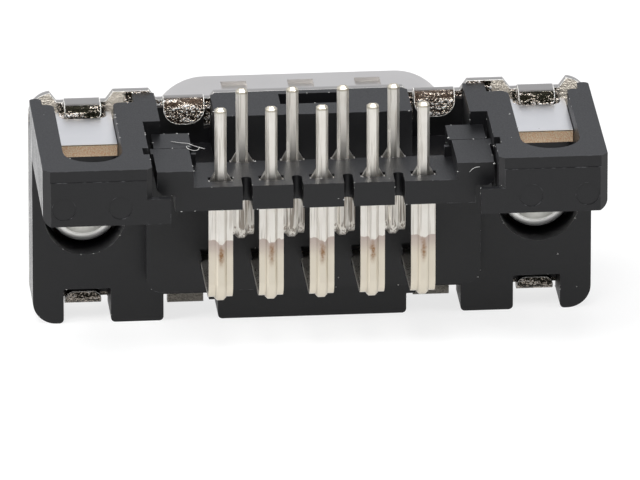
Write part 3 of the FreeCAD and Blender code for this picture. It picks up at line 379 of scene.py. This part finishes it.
def make_matte_tin():
    """Matte tin on brass: metallic, roughness about 0.4, with painted shade, a brown mark and drawn lines.
    """
    material, tree, shader, place = start_material("matte_tin")
    across = add_node(tree, SPLIT, {0: place}, "X")
    depth = add_node(tree, SPLIT, {0: place}, "Y")
    rise = add_node(tree, SPLIT, {0: place}, "Z")
    cloud = add_node(tree, NOISE, {"Vector": place, "Scale": 1 / (0.8 * MM), "Detail": 3.0})
    tin = add_node(
        tree, MIX, {SHARE: cloud, FIRST: linear("#E2DDD4"), SECOND: linear("#F4F1EB")}, MIXED, **COLOURS)
    stretched = add_node(tree, "ShaderNodeMapping", {"Vector": place, "Scale": (1.0, 1.0, 0.04)})
    lines = add_node(tree, NOISE, {"Vector": stretched, "Scale": 1 / (0.11 * MM), "Detail": 2.0})
    streak = add_node(
        tree, RANGE, {"Value": lines, "From Min": 0.54, "From Max": 0.66, "To Max": 0.35}, **SMOOTH)
    hidden_leg = add_node(
        tree, RANGE, {"Value": depth, "From Min": SHORT_LEG_BACK, "From Max": SHORT_LEG_BACK + 0.4 * MM})
    below_plate = add_node(
        tree, RANGE, {"Value": rise, "From Min": PLATE_UNDERSIDE, "From Max": PLATE_UNDERSIDE - 0.4 * MM})
    behind_body = add_node(
        tree, RANGE, {"Value": depth, "From Min": BODY_BACK, "From Max": BODY_BACK - 0.5 * MM})
    short_leg = add_node(tree, MATH, {0: hidden_leg, 1: below_plate}, operation="MULTIPLY")
    short_leg = add_node(tree, MATH, {0: short_leg, 1: behind_body}, operation="MULTIPLY")
    # Painted shade: dark streaks on the short legs where they lie under the plate and behind the body.
    under_plate_shade = add_node(
        tree, RANGE, {"Value": lines, "From Min": 0.5, "From Max": 0.58, "To Max": 0.8}, **SMOOTH)
    under_plate_shade = add_node(tree, MATH, {0: under_plate_shade, 1: short_leg}, operation="MULTIPLY")
    streak = add_node(tree, MATH, {0: streak, 1: under_plate_shade}, operation="MAXIMUM")
    tin = add_node(tree, MIX, {SHARE: streak, FIRST: tin, SECOND: linear("#8F8478")}, MIXED, **COLOURS)
    ragged = add_node(tree, NOISE, {"Vector": place, "Scale": 1 / (0.35 * MM), "Detail": 2.0})
    lift = add_node(tree, RANGE, {"Value": ragged, "To Min": -0.16 * MM, "To Max": 0.16 * MM})
    level = add_node(tree, MATH, {0: rise, 1: lift}, operation="ADD")
    shifted = add_node(
        tree, MATH, {0: across, 1: 0.5 * CONTACT_PITCH, 2: -0.5 * CONTACT_PITCH}, operation="WRAP")
    from_middle = add_node(tree, MATH, {0: shifted}, operation="ABSOLUTE")
    dip = add_node(
        tree, RANGE, {"Value": from_middle, "From Min": 0.3 * MM, "From Max": 0.1 * MM}, **SMOOTH)
    dip = add_node(tree, MATH, {0: dip, 1: 0.14 * MM}, operation="MULTIPLY")
    level = add_node(tree, MATH, {0: level, 1: dip}, operation="ADD")
    # Painted shadow of the tine plate: mauve-grey at the band's top, fading to the plating's cream.
    in_band = add_node(
        tree, RANGE, {"Value": level, "From Min": BAND_TOP, "From Max": BAND_TOP - 0.05 * MM}, **SMOOTH)
    long_leg = add_node(
        tree, RANGE, {"Value": depth, "From Min": LONG_LEG_DEPTH, "From Max": LONG_LEG_DEPTH - 0.1 * MM})
    in_band = add_node(tree, MATH, {0: in_band, 1: long_leg}, operation="MULTIPLY")
    fading = add_node(tree, RANGE, {"Value": level, "From Min": BAND_TOP, "From Max": CREAM_TOP}, **SMOOTH)
    shadow_to_cream = add_node(
        tree, MIX, {SHARE: fading, FIRST: linear("#BFB1A9"), SECOND: linear("#DED6C6")}, MIXED, **COLOURS)
    tin = add_node(tree, MIX, {SHARE: in_band, FIRST: tin, SECOND: shadow_to_cream}, MIXED, **COLOURS)
    wobble = add_node(tree, RANGE, {
        "Value": ragged, "From Min": 0.3, "From Max": 0.7, "To Min": -0.06 * MM, "To Max": 0.06 * MM})
    aside = add_node(tree, MATH, {0: from_middle, 1: wobble}, operation="ADD")
    centred = add_node(tree, RANGE, {"Value": aside, "From Min": 0.22 * MM, "From Max": 0.0}, **SMOOTH)
    off_middle = add_node(tree, MATH, {0: level, 1: BROWN_MARK_MIDDLE}, operation="SUBTRACT")
    off_middle = add_node(tree, MATH, {0: off_middle}, operation="ABSOLUTE")
    near_band = add_node(
        tree, RANGE, {"Value": off_middle, "From Min": 0.9 * MM, "From Max": 0.1 * MM}, **SMOOTH)
    speckle = add_node(tree, NOISE, {"Vector": place, "Scale": 1 / (0.12 * MM), "Detail": 2.0})
    speckle = add_node(tree, RANGE, {"Value": speckle, "From Min": 0.34, "From Max": 0.6, "To Min": 0.6})
    near_band = add_node(tree, MATH, {0: near_band, 1: speckle}, operation="MULTIPLY")
    brown_mark = add_node(tree, MATH, {0: centred, 1: near_band}, operation="MULTIPLY")
    brown_mark = add_node(tree, MATH, {0: brown_mark, 1: long_leg}, operation="MULTIPLY")
    tin = add_node(tree, MIX, {SHARE: brown_mark, FIRST: tin, SECOND: linear("#8F6A46")}, MIXED, **COLOURS)
    tip = add_node(
        tree, RANGE, {"Value": rise, "From Min": TAIL_TOP - 0.3 * MM, "From Max": TAIL_TOP - 0.24 * MM})
    tin = add_node(tree, MIX, {SHARE: tip, FIRST: tin, SECOND: linear("#C3BDAF")}, MIXED, **COLOURS)
    # Painted shade: thin dark lines along the edges of the rib on the long legs.
    beside_rib = add_node(tree, MATH, {0: from_middle, 1: RIB_HALF}, operation="SUBTRACT")
    beside_rib = add_node(tree, MATH, {0: beside_rib}, operation="ABSOLUTE")
    groove = add_node(
        tree, RANGE, {"Value": beside_rib, "From Min": 0.04 * MM, "From Max": 0.015 * MM, "To Max": 0.28})
    groove = add_node(tree, MATH, {0: groove, 1: long_leg}, operation="MULTIPLY")
    tin = add_node(tree, MIX, {SHARE: groove, FIRST: tin, SECOND: linear("#6E655C")}, MIXED, **COLOURS)
    tree.links.new(tin, shader.inputs["Base Color"])
    shader.inputs["Metallic"].default_value = 1.0
    shader.inputs["Roughness"].default_value = 0.42
    normal = add_node(tree, BUMP, {"Height": lines, "Strength": 0.4, "Distance": 0.03 * MM})
    tree.links.new(normal, shader.inputs["Normal"])
    return material


matte_tin = make_matte_tin()

# %% [markdown]
# The screw inserts are taken to be turned brass with nickel plate, which is brighter and sharper
# than the matte tin. A lathe leaves fine rings round the screw's axis. They are too fine to show
# at their true spacing, so they are drawn 0.07 mm apart.

# %% Nickel-plated inserts
def make_nickel():
    """Nickel plate on a turned part: metallic, roughness about 0.3, with turning rings."""
    material, tree, shader, place = start_material("nickel_plate")
    cloud = add_node(tree, NOISE, {"Vector": place, "Scale": 1 / (0.8 * MM), "Detail": 2.0})
    base = add_node(
        tree, MIX, {SHARE: cloud, FIRST: linear("#F6F5F1"), SECOND: linear("#FFFFFC")}, MIXED, **COLOURS)
    tree.links.new(base, shader.inputs["Base Color"])
    shader.inputs["Metallic"].default_value = 1.0
    shader.inputs["Roughness"].default_value = 0.3
    squeezed = add_node(tree, "ShaderNodeMapping", {"Vector": place, "Scale": (0.1, 1.0, 0.1)})
    rings = add_node(tree, NOISE, {"Vector": squeezed, "Scale": 1 / (0.07 * MM), "Detail": 2.0})
    normal = add_node(tree, BUMP, {"Height": rings, "Strength": 0.2, "Distance": 0.01 * MM})
    tree.links.new(normal, shader.inputs["Normal"])
    return material


nickel_plate = make_nickel()

# %% [markdown]
# Two small finishes are left: the pale torn curls that a mould's parting line leaves on black
# polyester, where the stressed plastic turns whitish, and a pale fibre, as of cotton.

# %% Flash and fibre finishes
def make_torn_flash():
    """Stress-whitened polyester: rough, pale grey, uneven."""
    material, tree, shader, place = start_material("torn_flash")
    cloud = add_node(tree, NOISE, {"Vector": place, "Scale": 1 / (0.15 * MM), "Detail": 2.0})
    base = add_node(
        tree, MIX, {SHARE: cloud, FIRST: linear("#6E6E70"), SECOND: linear("#D0D0CC")}, MIXED, **COLOURS)
    tree.links.new(base, shader.inputs["Base Color"])
    shader.inputs["Roughness"].default_value = 0.7
    return material


def make_cotton():
    """Cotton-like fibre: pale, rough, a little uneven along its length."""
    material, tree, shader, place = start_material("cotton_fibre")
    cloud = add_node(tree, NOISE, {"Vector": place, "Scale": 1 / (0.3 * MM), "Detail": 2.0})
    base = add_node(
        tree, MIX, {SHARE: cloud, FIRST: linear("#8E8E8C"), SECOND: linear("#D8D8D5")}, MIXED, **COLOURS)
    tree.links.new(base, shader.inputs["Base Color"])
    shader.inputs["Roughness"].default_value = 0.85
    return material


torn_flash = make_torn_flash()
cotton_fibre = make_cotton()

# %% [markdown]
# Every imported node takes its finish. A narrow bevel rounds the sharp edges of all but the
# inserts, because no moulded or stamped edge is perfectly sharp, and it catches the light.

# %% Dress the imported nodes
FINISHES = {
    "front_shell": tinned_steel,
    "housing": black_polyester,
    "tine_plate": black_polyester,
    "ground_strap": tinned_bronze,
    "threaded_insert": nickel_plate,
    "contact": matte_tin,
}
EDGE_ROUNDS = {
    "front_shell": 0.03,
    "housing": 0.04,
    "tine_plate": 0.04,
    "ground_strap": 0.03,
    "contact": 0.02,
}


def dress(node, item):
    """Gives a node its material and a narrow bevel."""
    kind = next(name for name in FINISHES if node.startswith(name))
    item.data.materials.clear()
    item.data.materials.append(FINISHES[kind])
    if kind in EDGE_ROUNDS:
        bevel = item.modifiers.new("soft_edges", "BEVEL")
        bevel.width = EDGE_ROUNDS[kind] * MM
        bevel.segments = 2
        bevel.limit_method = "ANGLE"
        bevel.angle_limit = math.radians(40)
    return kind


for node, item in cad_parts.items():
    print(node, "dressed as", dress(node, item))

# %% [markdown]
# The solid inserts have a plain bore. The photo doesn't show the thread, so it is a guess: 40
# threads to the inch, as on the small inch screw that such connectors usually take. A profile
# that is turned round the screw's axis makes the insert, and each point of its bore moves out
# and in with the turn, which makes a helical thread. In the photo the rim behind is bright and
# flat, its mouth opens in a cone and fine rings run round it, as if a flared punch had pressed
# it over the strap. One such ring is made.

# %% Threaded inserts
SCREW_PITCH = 25.4 / 40 * MM
THREAD_DEPTH = 0.24 * MM
BORE_RADIUS = 1.15 * MM
FLARE_RADIUS = 1.5 * MM
FLARE_DEPTH = 0.5 * MM
COLLAR_BACK = 0.02 * MM
TURNS = 96
ROWS_PER_PITCH = 8


def insert_profile(front, collar_back, rim_front, back, radii):
    """Lists (radius, depth, is_bore) round the half section, from the bore's front to its back."""
    bore, neck, rim, collar = radii
    rows = int((front - back) / SCREW_PITCH * ROWS_PER_PITCH)
    points = [(bore, front + (back - front) * row / rows, True) for row in range(rows + 1)]
    soft = 0.08 * MM
    groove = 0.03 * MM
    points += [(FLARE_RADIUS + groove, back, False), (FLARE_RADIUS + 1.5 * groove, back + groove, False)]
    points += [(FLARE_RADIUS + 2 * groove, back, False)]
    corners = ((rim, back, -90), (rim, rim_front, 0), (neck, rim_front, None), (neck, collar_back, None),
               (collar, collar_back, -90), (collar, front, 0))
    for radius, depth, start in corners:
        if start is None:
            points.append((radius, depth, False))
            continue
        middle = depth + soft if start < 0 else depth - soft
        for step in range(4):
            angle = math.radians(start + 30 * step)
            points.append((radius - soft + soft * math.cos(angle), middle + soft * math.sin(angle), False))
    return points


def thread_offset(depth, turn, front, back):
    """How far the thread cuts into the bore's wall, with a chamfer in front and a wide flare behind."""
    phase = (depth / SCREW_PITCH + turn) % 1.0
    wave = min(1.0, max(0.0, 2.6 * abs(phase - 0.5) - 0.15))
    mouth = 1.0 - (front - depth) / (0.5 * THREAD_DEPTH)
    flare = (FLARE_RADIUS - BORE_RADIUS) * (1.0 - (depth - back) / FLARE_DEPTH)
    return max(THREAD_DEPTH * max(wave, mouth), flare)


def make_insert(node, radii, rim_height):
    """Turns the insert's profile round the bore of the node that it replaces."""
    low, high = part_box(node)
    back, front = low[1], high[1]
    axis = Vector(((low[0] + high[0]) / 2, 0, (low[2] + high[2]) / 2))
    profile = insert_profile(front, COLLAR_BACK, back + rim_height, back, radii)
    mesh = bmesh.new()
    rings = []
    for turn in range(TURNS):
        angle = math.tau * turn / TURNS
        ring = []
        for radius, depth, is_bore in profile:
            if is_bore:
                radius += thread_offset(depth, turn / TURNS, front, back)
            spot = axis + Vector((radius * math.cos(angle), depth, radius * math.sin(angle)))
            ring.append(mesh.verts.new(spot))
        rings.append(ring)
    count = len(profile)
    for turn in range(TURNS):
        here, there = rings[turn], rings[(turn + 1) % TURNS]
        for index in range(count):
            following = (index + 1) % count
            mesh.faces.new((here[index], here[following], there[following], there[index]))
    bmesh.ops.recalc_face_normals(mesh, faces=mesh.faces)
    data = bpy.data.meshes.new(f"tapped_{node}")
    mesh.to_mesh(data)
    mesh.free()
    data.shade_smooth()
    data.set_sharp_from_angle(angle=math.radians(50))
    piece = bpy.data.objects.new(f"tapped_{node}", data)
    bpy.context.collection.objects.link(piece)
    piece.data.materials.append(nickel_plate)
    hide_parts(node)
    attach(piece, "root")
    print(piece.name, len(data.polygons), "faces")


NECK_RADIUS, RIM_RADIUS, COLLAR_RADIUS = 1.5 * MM, 1.94 * MM, 2.3 * MM
INSERT_RADII = (BORE_RADIUS, NECK_RADIUS, RIM_RADIUS, COLLAR_RADIUS)
RIM_HEIGHT = 0.6 * MM
for side in ("left", "right"):
    make_insert(f"threaded_insert_{side}", INSERT_RADII, RIM_HEIGHT)

# %% [markdown]
# The front of each ground strap is relieved, so that the flange's tab can fold down through it.
# The solid has the slot for the tab, but in the photo the slot is a little wider and its prongs
# are cut back. A cutter with the slot's outline takes that away from a copy of the strap.

# %% Relieved ground straps
SLOT_HALF, SLOT_END, SLOT_ROUND = 1.3 * MM, -2.12 * MM, 0.5 * MM
PRONG_FRONT, CUT_FRONT, CUT_HALF = -0.95 * MM, -0.3 * MM, 1.8 * MM
CUT_BASE, CUT_TOP = 4.6 * MM, 5.6 * MM


def slot_outline(centre):
    """Points round the cutter: wide in front of the prongs, then the slot with round corners."""
    half = [(CUT_HALF, CUT_FRONT), (CUT_HALF, PRONG_FRONT), (SLOT_HALF, PRONG_FRONT)]
    for step in range(7):
        angle = math.radians(15 * step)
        inward = SLOT_ROUND * (1 - math.cos(angle))
        forward = SLOT_ROUND * (1 - math.sin(angle))
        half.append((SLOT_HALF - inward, SLOT_END + forward))
    right = [(centre + x, y) for x, y in half]
    left = [(centre - x, y) for x, y in reversed(half)]
    return right + left


def relieve_strap(node):
    """Cuts a copy of the strap with the slot's outline, and shows it instead."""
    low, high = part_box(node)
    cutter_mesh = bmesh.new()
    outline = [cutter_mesh.verts.new((x, y, CUT_BASE)) for x, y in slot_outline((low[0] + high[0]) / 2)]
    base = cutter_mesh.faces.new(outline)
    grown = bmesh.ops.extrude_face_region(cutter_mesh, geom=[base])["geom"]
    for item in grown:
        if isinstance(item, bmesh.types.BMVert):
            item.co.z = CUT_TOP
    bmesh.ops.recalc_face_normals(cutter_mesh, faces=cutter_mesh.faces)
    data = bpy.data.meshes.new("slot_cutter")
    cutter_mesh.to_mesh(data)
    cutter_mesh.free()
    cutter = bpy.data.objects.new("slot_cutter", data)
    blank_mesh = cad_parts[node].data.copy()
    blank = bpy.data.objects.new("strap_blank", blank_mesh)
    for item in (cutter, blank):
        bpy.context.collection.objects.link(item)
    welded = bmesh.new()
    welded.from_mesh(blank_mesh)
    bmesh.ops.remove_doubles(welded, verts=welded.verts, dist=0.001 * MM)
    welded.to_mesh(blank_mesh)
    welded.free()
    cut = blank.modifiers.new("slot", "BOOLEAN")
    cut.object = cutter
    cut.operation = "DIFFERENCE"
    cut.solver = "EXACT"
    shape = bpy.data.meshes.new_from_object(blank.evaluated_get(bpy.context.evaluated_depsgraph_get()))
    shape.name = f"relieved_{node}"
    for item in (cutter, blank):
        bpy.data.objects.remove(item)
    piece = bpy.data.objects.new(f"relieved_{node}", shape)
    bpy.context.collection.objects.link(piece)
    dress(node, piece)
    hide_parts(node)
    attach(piece, "root")
    print(piece.name, len(shape.polygons), "faces")


for side in ("left", "right"):
    relieve_strap(f"ground_strap_{side}")

# %% [markdown]
# Injection moulding leaves flash: thin torn curls where the mould's halves met. They are small
# irregular chips along the sharp outer edges, and a few more lie on the faces as dust. The edges
# are found on the solids themselves, so every chip sits on what carries it. Chips stay a little
# inside the box of the whole part. The random draws have a fixed seed.

# %% Flash and dust chips
CHIP_SIZES = (0.02 * MM, 0.05 * MM)
EDGE_CHIPS = {"housing": 260, "tine_plate": 80}
FACE_CHIPS = {"housing": 34, "tine_plate": 12}
BOX_MARGIN = 0.11 * MM
draw = random.Random(11)


def add_chip(mesh, place, size):
    """Adds one small irregular chip at a place."""
    made = bmesh.ops.create_icosphere(mesh, subdivisions=1, radius=size)
    stretch = Vector((draw.uniform(0.6, 1.9), draw.uniform(0.6, 1.4), draw.uniform(0.5, 1.0)))
    for vertex in made["verts"]:
        spread = draw.uniform(0.7, 1.25)
        vertex.co = place + Vector(c * s * spread for c, s in zip(vertex.co, stretch))


def inside_box(place):
    """Says whether a chip at this place stays inside the box of the whole part."""
    spans = zip(cad_box[0], place, cad_box[1])
    return all(low + BOX_MARGIN < c < high - BOX_MARGIN for low, c, high in spans)


def chip_places(node, edge_count, face_count):
    """Draws places along the sharp outer edges of a node, and some on its faces."""
    solid = bmesh.new()
    solid.from_mesh(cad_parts[node].data)
    bmesh.ops.remove_doubles(solid, verts=solid.verts, dist=0.001 * MM)
    paired = [e for e in solid.edges if len(e.link_faces) == 2]
    sharp = [e for e in paired if e.calc_face_angle_signed() > math.radians(50)]
    edges = draw.choices(sharp, [e.calc_length() for e in sharp], k=edge_count)
    faces = draw.choices(list(solid.faces), [f.calc_area() for f in solid.faces], k=face_count)
    places = [e.verts[0].co.lerp(e.verts[1].co, draw.random()) for e in edges]
    for face in faces:
        corners = [v.co for v in face.verts[:3]]
        places.append(corners[0].lerp(corners[1], draw.random()).lerp(corners[2], draw.uniform(0.1, 0.6)))
    places = [place.copy() for place in places if inside_box(place)]
    solid.free()
    return places


def make_chips(node):
    """Makes one piece that holds the chips of a node."""
    mesh = bmesh.new()
    places = chip_places(node, EDGE_CHIPS[node], FACE_CHIPS[node])
    for place in places:
        add_chip(mesh, place, draw.uniform(*CHIP_SIZES))
    data = bpy.data.meshes.new(f"flash_{node}")
    mesh.to_mesh(data)
    mesh.free()
    piece = bpy.data.objects.new(f"flash_{node}", data)
    bpy.context.collection.objects.link(piece)
    piece.data.materials.append(torn_flash)
    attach(piece, "root")
    print(piece.name, len(places), "chips")


for node in EDGE_CHIPS:
    make_chips(node)

# %% [markdown]
# A pale fibre lies across the left arm of the tine plate and hangs a little over its inner
# edge. It is a thin tube along a smooth curve: one strand with a small loop folded back under it.
# A short pale arc on the rear face of the right arm may be a scratch or lint, and is drawn as lint.

# %% Stray fibre
FIBRE_RADIUS = 0.016 * MM
ARM_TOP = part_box("tine_plate")[1][2]
ARM_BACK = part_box("tine_plate")[0][1]
STRAND = [(-7.99, -6.14, 0.0), (-7.72, -6.36, 0.04), (-7.4, -6.52, 0.05), (-7.08, -6.57, 0.03),
          (-6.82, -6.84, 0.0), (-6.53, -7.1, -0.02), (-6.22, -7.28, -0.04)]
LOOP = [(-7.03, -7.04, 0.03), (-7.17, -6.96, 0.05), (-7.25, -7.1, 0.03), (-7.12, -7.42, 0.02),
        (-6.86, -7.6, -0.01), (-6.6, -7.44, -0.04), (-6.55, -7.2, -0.04), (-6.5, -7.02, -0.02)]
LINT = [(7.97, 0.0, 4.905), (8.06, 0.0, 5.03), (8.188, 0.0, 5.12), (8.363, 0.0, 5.167), (8.505, 0.0, 5.168)]


def lay_strand(curve, points, base, away):
    """Adds one smooth strand, its points in mm, shifted a fibre's radius off the face at base."""
    spline = curve.splines.new("NURBS")
    spline.points.add(len(points) - 1)
    for point, place in zip(spline.points, points):
        spot = base + FIBRE_RADIUS * away + MM * Vector(place)
        point.co = (spot.x, spot.y, spot.z, 1.0)
    spline.order_u = 3
    spline.use_endpoint_u = True


fibre_curve = bpy.data.curves.new("fibre_line", "CURVE")
fibre_curve.dimensions = "3D"
fibre_curve.bevel_depth = FIBRE_RADIUS
fibre_curve.bevel_resolution = 2
fibre_curve.use_fill_caps = True
lay_strand(fibre_curve, STRAND, Vector((0.0, 0.0, ARM_TOP)), Vector((0.0, 0.0, 1.0)))
lay_strand(fibre_curve, LOOP, Vector((0.0, 0.0, ARM_TOP)), Vector((0.0, 0.0, 1.0)))
lay_strand(fibre_curve, LINT, Vector((0.0, ARM_BACK, 0.0)), Vector((0.0, -1.0, 0.0)))
guide = bpy.data.objects.new("fibre_guide", fibre_curve)
bpy.context.collection.objects.link(guide)
fibre_mesh = bpy.data.meshes.new_from_object(guide)
bpy.data.objects.remove(guide)
fibre = bpy.data.objects.new("stray_fibre", fibre_mesh)
bpy.context.collection.objects.link(fibre)
fibre_mesh.materials.clear()
fibre_mesh.materials.append(cotton_fibre)
fibre_mesh.shade_smooth()
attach(fibre, "root")
print("fibre on the arm, top at", round(ARM_TOP / MM, 3), "mm")

# %% [markdown]
# The studio is a white sweep of paper with a white backdrop behind the part and a dark room
# behind the camera. That split is what makes metal look like metal: a face that looks up and
# back shows the pale backdrop, one that looks down shows the paper, and crazed folds catch both.
# The paper is a mid grey for soft light, so it doesn't flood the black plastic. It glows up to
# white for the camera and a little less in reflections. The shadow under the part stays.

# %% Paper sweep
FLOOR_Z = cad_box[0][2]
SEEN_GLOW, MIRRORED_GLOW = 0.76, 0.6


def make_paper():
    """Paper that glows for the camera and, a little less, in reflections, and keeps its shadow."""
    material, tree, shader = start_material("white_paper")[:3]
    shader.inputs["Base Color"].default_value = linear("#8A8A8A")
    shader.inputs["Roughness"].default_value = 0.9
    shader.inputs["Specular IOR Level"].default_value = 0.1
    seen = add_node(tree, "ShaderNodeLightPath", {}, None).outputs
    mirrored = add_node(
        tree, MATH, {0: seen["Is Glossy Ray"], 1: seen["Is Transmission Ray"]}, operation="MAXIMUM")
    strength = add_node(tree, MATH, {0: seen["Is Camera Ray"], 1: SEEN_GLOW}, operation="MULTIPLY")
    strength = add_node(tree, MATH, {0: mirrored, 1: MIRRORED_GLOW, 2: strength}, operation="MULTIPLY_ADD")
    glow = add_node(tree, "ShaderNodeEmission", {"Strength": strength})
    both = add_node(tree, "ShaderNodeAddShader", {0: shader.outputs["BSDF"], 1: glow})
    tree.links.new(both, tree.nodes["Material Output"].inputs["Surface"])
    return material


bpy.ops.mesh.primitive_plane_add(size=8.0, location=(0, 0, FLOOR_Z))
paper = bpy.context.object
paper.name = "paper_floor"
paper.data.materials.append(make_paper())
print("paper at", round(FLOOR_Z / MM, 3), "mm")

# %% [markdown]
# The world gives the backdrop. The camera sees it white. Reflections see a pale backdrop on the
# far side of the part and a pale ceiling, both faintly blue, and darkness behind the camera.
# Diffuse light gets a weak even fill.

# %% Backdrop
BACKDROP, OVERHEAD, DARK_ROOM, FILL = 0.8, 0.66, 0.05, 0.3
FAINT_BLUE = (0.97, 0.99, 1.04, 1)

world = bpy.data.worlds.new("studio_world")
bpy.context.scene.world = world
world.use_nodes = True
sky = world.node_tree
sky.nodes.clear()
seen = add_node(sky, "ShaderNodeLightPath", {}, None).outputs
direction = add_node(sky, "ShaderNodeTexCoord", {}, "Generated")
away_from_camera = add_node(sky, SPLIT, {0: direction}, "Y")
backdrop = add_node(sky, RANGE, {
    "Value": away_from_camera, "From Min": -0.25, "From Max": 0.75,
    "To Min": DARK_ROOM, "To Max": BACKDROP}, **SMOOTH)
height = add_node(sky, SPLIT, {0: direction}, "Z")
overhead = add_node(sky, RANGE, {
    "Value": height, "From Min": 0.35, "From Max": 0.85, "To Min": DARK_ROOM, "To Max": OVERHEAD}, **SMOOTH)
backdrop = add_node(sky, MATH, {0: backdrop, 1: overhead}, operation="MAXIMUM")
mirrored = add_node(
    sky, MATH, {0: seen["Is Glossy Ray"], 1: seen["Is Transmission Ray"]}, operation="MAXIMUM")
soft = add_node(sky, "ShaderNodeBackground", {"Color": linear("#F4F6FA"), "Strength": FILL})
pale = add_node(sky, "ShaderNodeBackground", {"Color": FAINT_BLUE, "Strength": backdrop})
white = add_node(sky, "ShaderNodeBackground", {"Color": (1, 1, 1, 1), "Strength": 1.0})
both = add_node(sky, "ShaderNodeMixShader", {0: mirrored, 1: soft, 2: pale})
both = add_node(sky, "ShaderNodeMixShader", {0: seen["Is Camera Ray"], 1: both, 2: white})
add_node(sky, "ShaderNodeOutputWorld", {"Surface": both}, None)
print("backdrop", BACKDROP, "dark room", DARK_ROOM)

# %% [markdown]
# A soft box hangs high above the part, a little towards the camera, and another stands to each
# side. They are six to ten times as wide as the part, so their highlights are broad.

# %% Soft boxes
def add_soft_box(name, place, width, height, power):
    """Adds a rectangular lamp that looks at the part, in metres and watts."""
    lamp = bpy.data.lights.new(name, "AREA")
    lamp.shape = "RECTANGLE"
    lamp.size = width
    lamp.size_y = height
    lamp.energy = power
    holder = bpy.data.objects.new(name, lamp)
    holder.location = place
    holder.rotation_euler = (-Vector(place)).to_track_quat("-Z", "Y").to_euler()
    bpy.context.collection.objects.link(holder)
    print(name, power, "W")


add_soft_box("key_box", (-0.08, -0.24, 0.5), 0.3, 0.22, 2.8)
add_soft_box("left_box", (-0.5, -0.1, 0.2), 0.25, 0.25, 3.0)
add_soft_box("right_box", (0.5, -0.1, 0.22), 0.2, 0.25, 1.1)

# %% [markdown]
# The camera stands about 0.9 m behind the part, about 22 degrees above it, with a very long lens.
# They were fitted to points read from the photo, with the screw spacing and the flange's length
# held at the standard's sizes. The points say little about the distance.

# %% Camera
AZIMUTH = math.radians(-4.9)
ELEVATION = math.radians(21.6)
DISTANCE = 0.895
PIXELS_PER_MM = 18.236
IMAGE_WIDTH = 640
TARGET = Vector((0.289, -4.772, -1.156)) * MM

camera_data = bpy.data.cameras.new("photo_camera")
camera_data.sensor_width = 36.0
camera_data.lens = PIXELS_PER_MM * DISTANCE / MM * camera_data.sensor_width / IMAGE_WIDTH
camera_data.clip_end = 20.0
camera = bpy.data.objects.new("photo_camera", camera_data)
bpy.context.collection.objects.link(camera)
level = math.cos(ELEVATION)
away = Vector((math.sin(AZIMUTH) * level, -math.cos(AZIMUTH) * level, math.sin(ELEVATION)))
camera.location = TARGET + away * DISTANCE
camera.rotation_euler = (-away).to_track_quat("-Z", "Y").to_euler()
bpy.context.scene.camera = camera
bpy.context.scene.view_settings.view_transform = "Standard"
print("lens", round(camera_data.lens, 1), "mm")
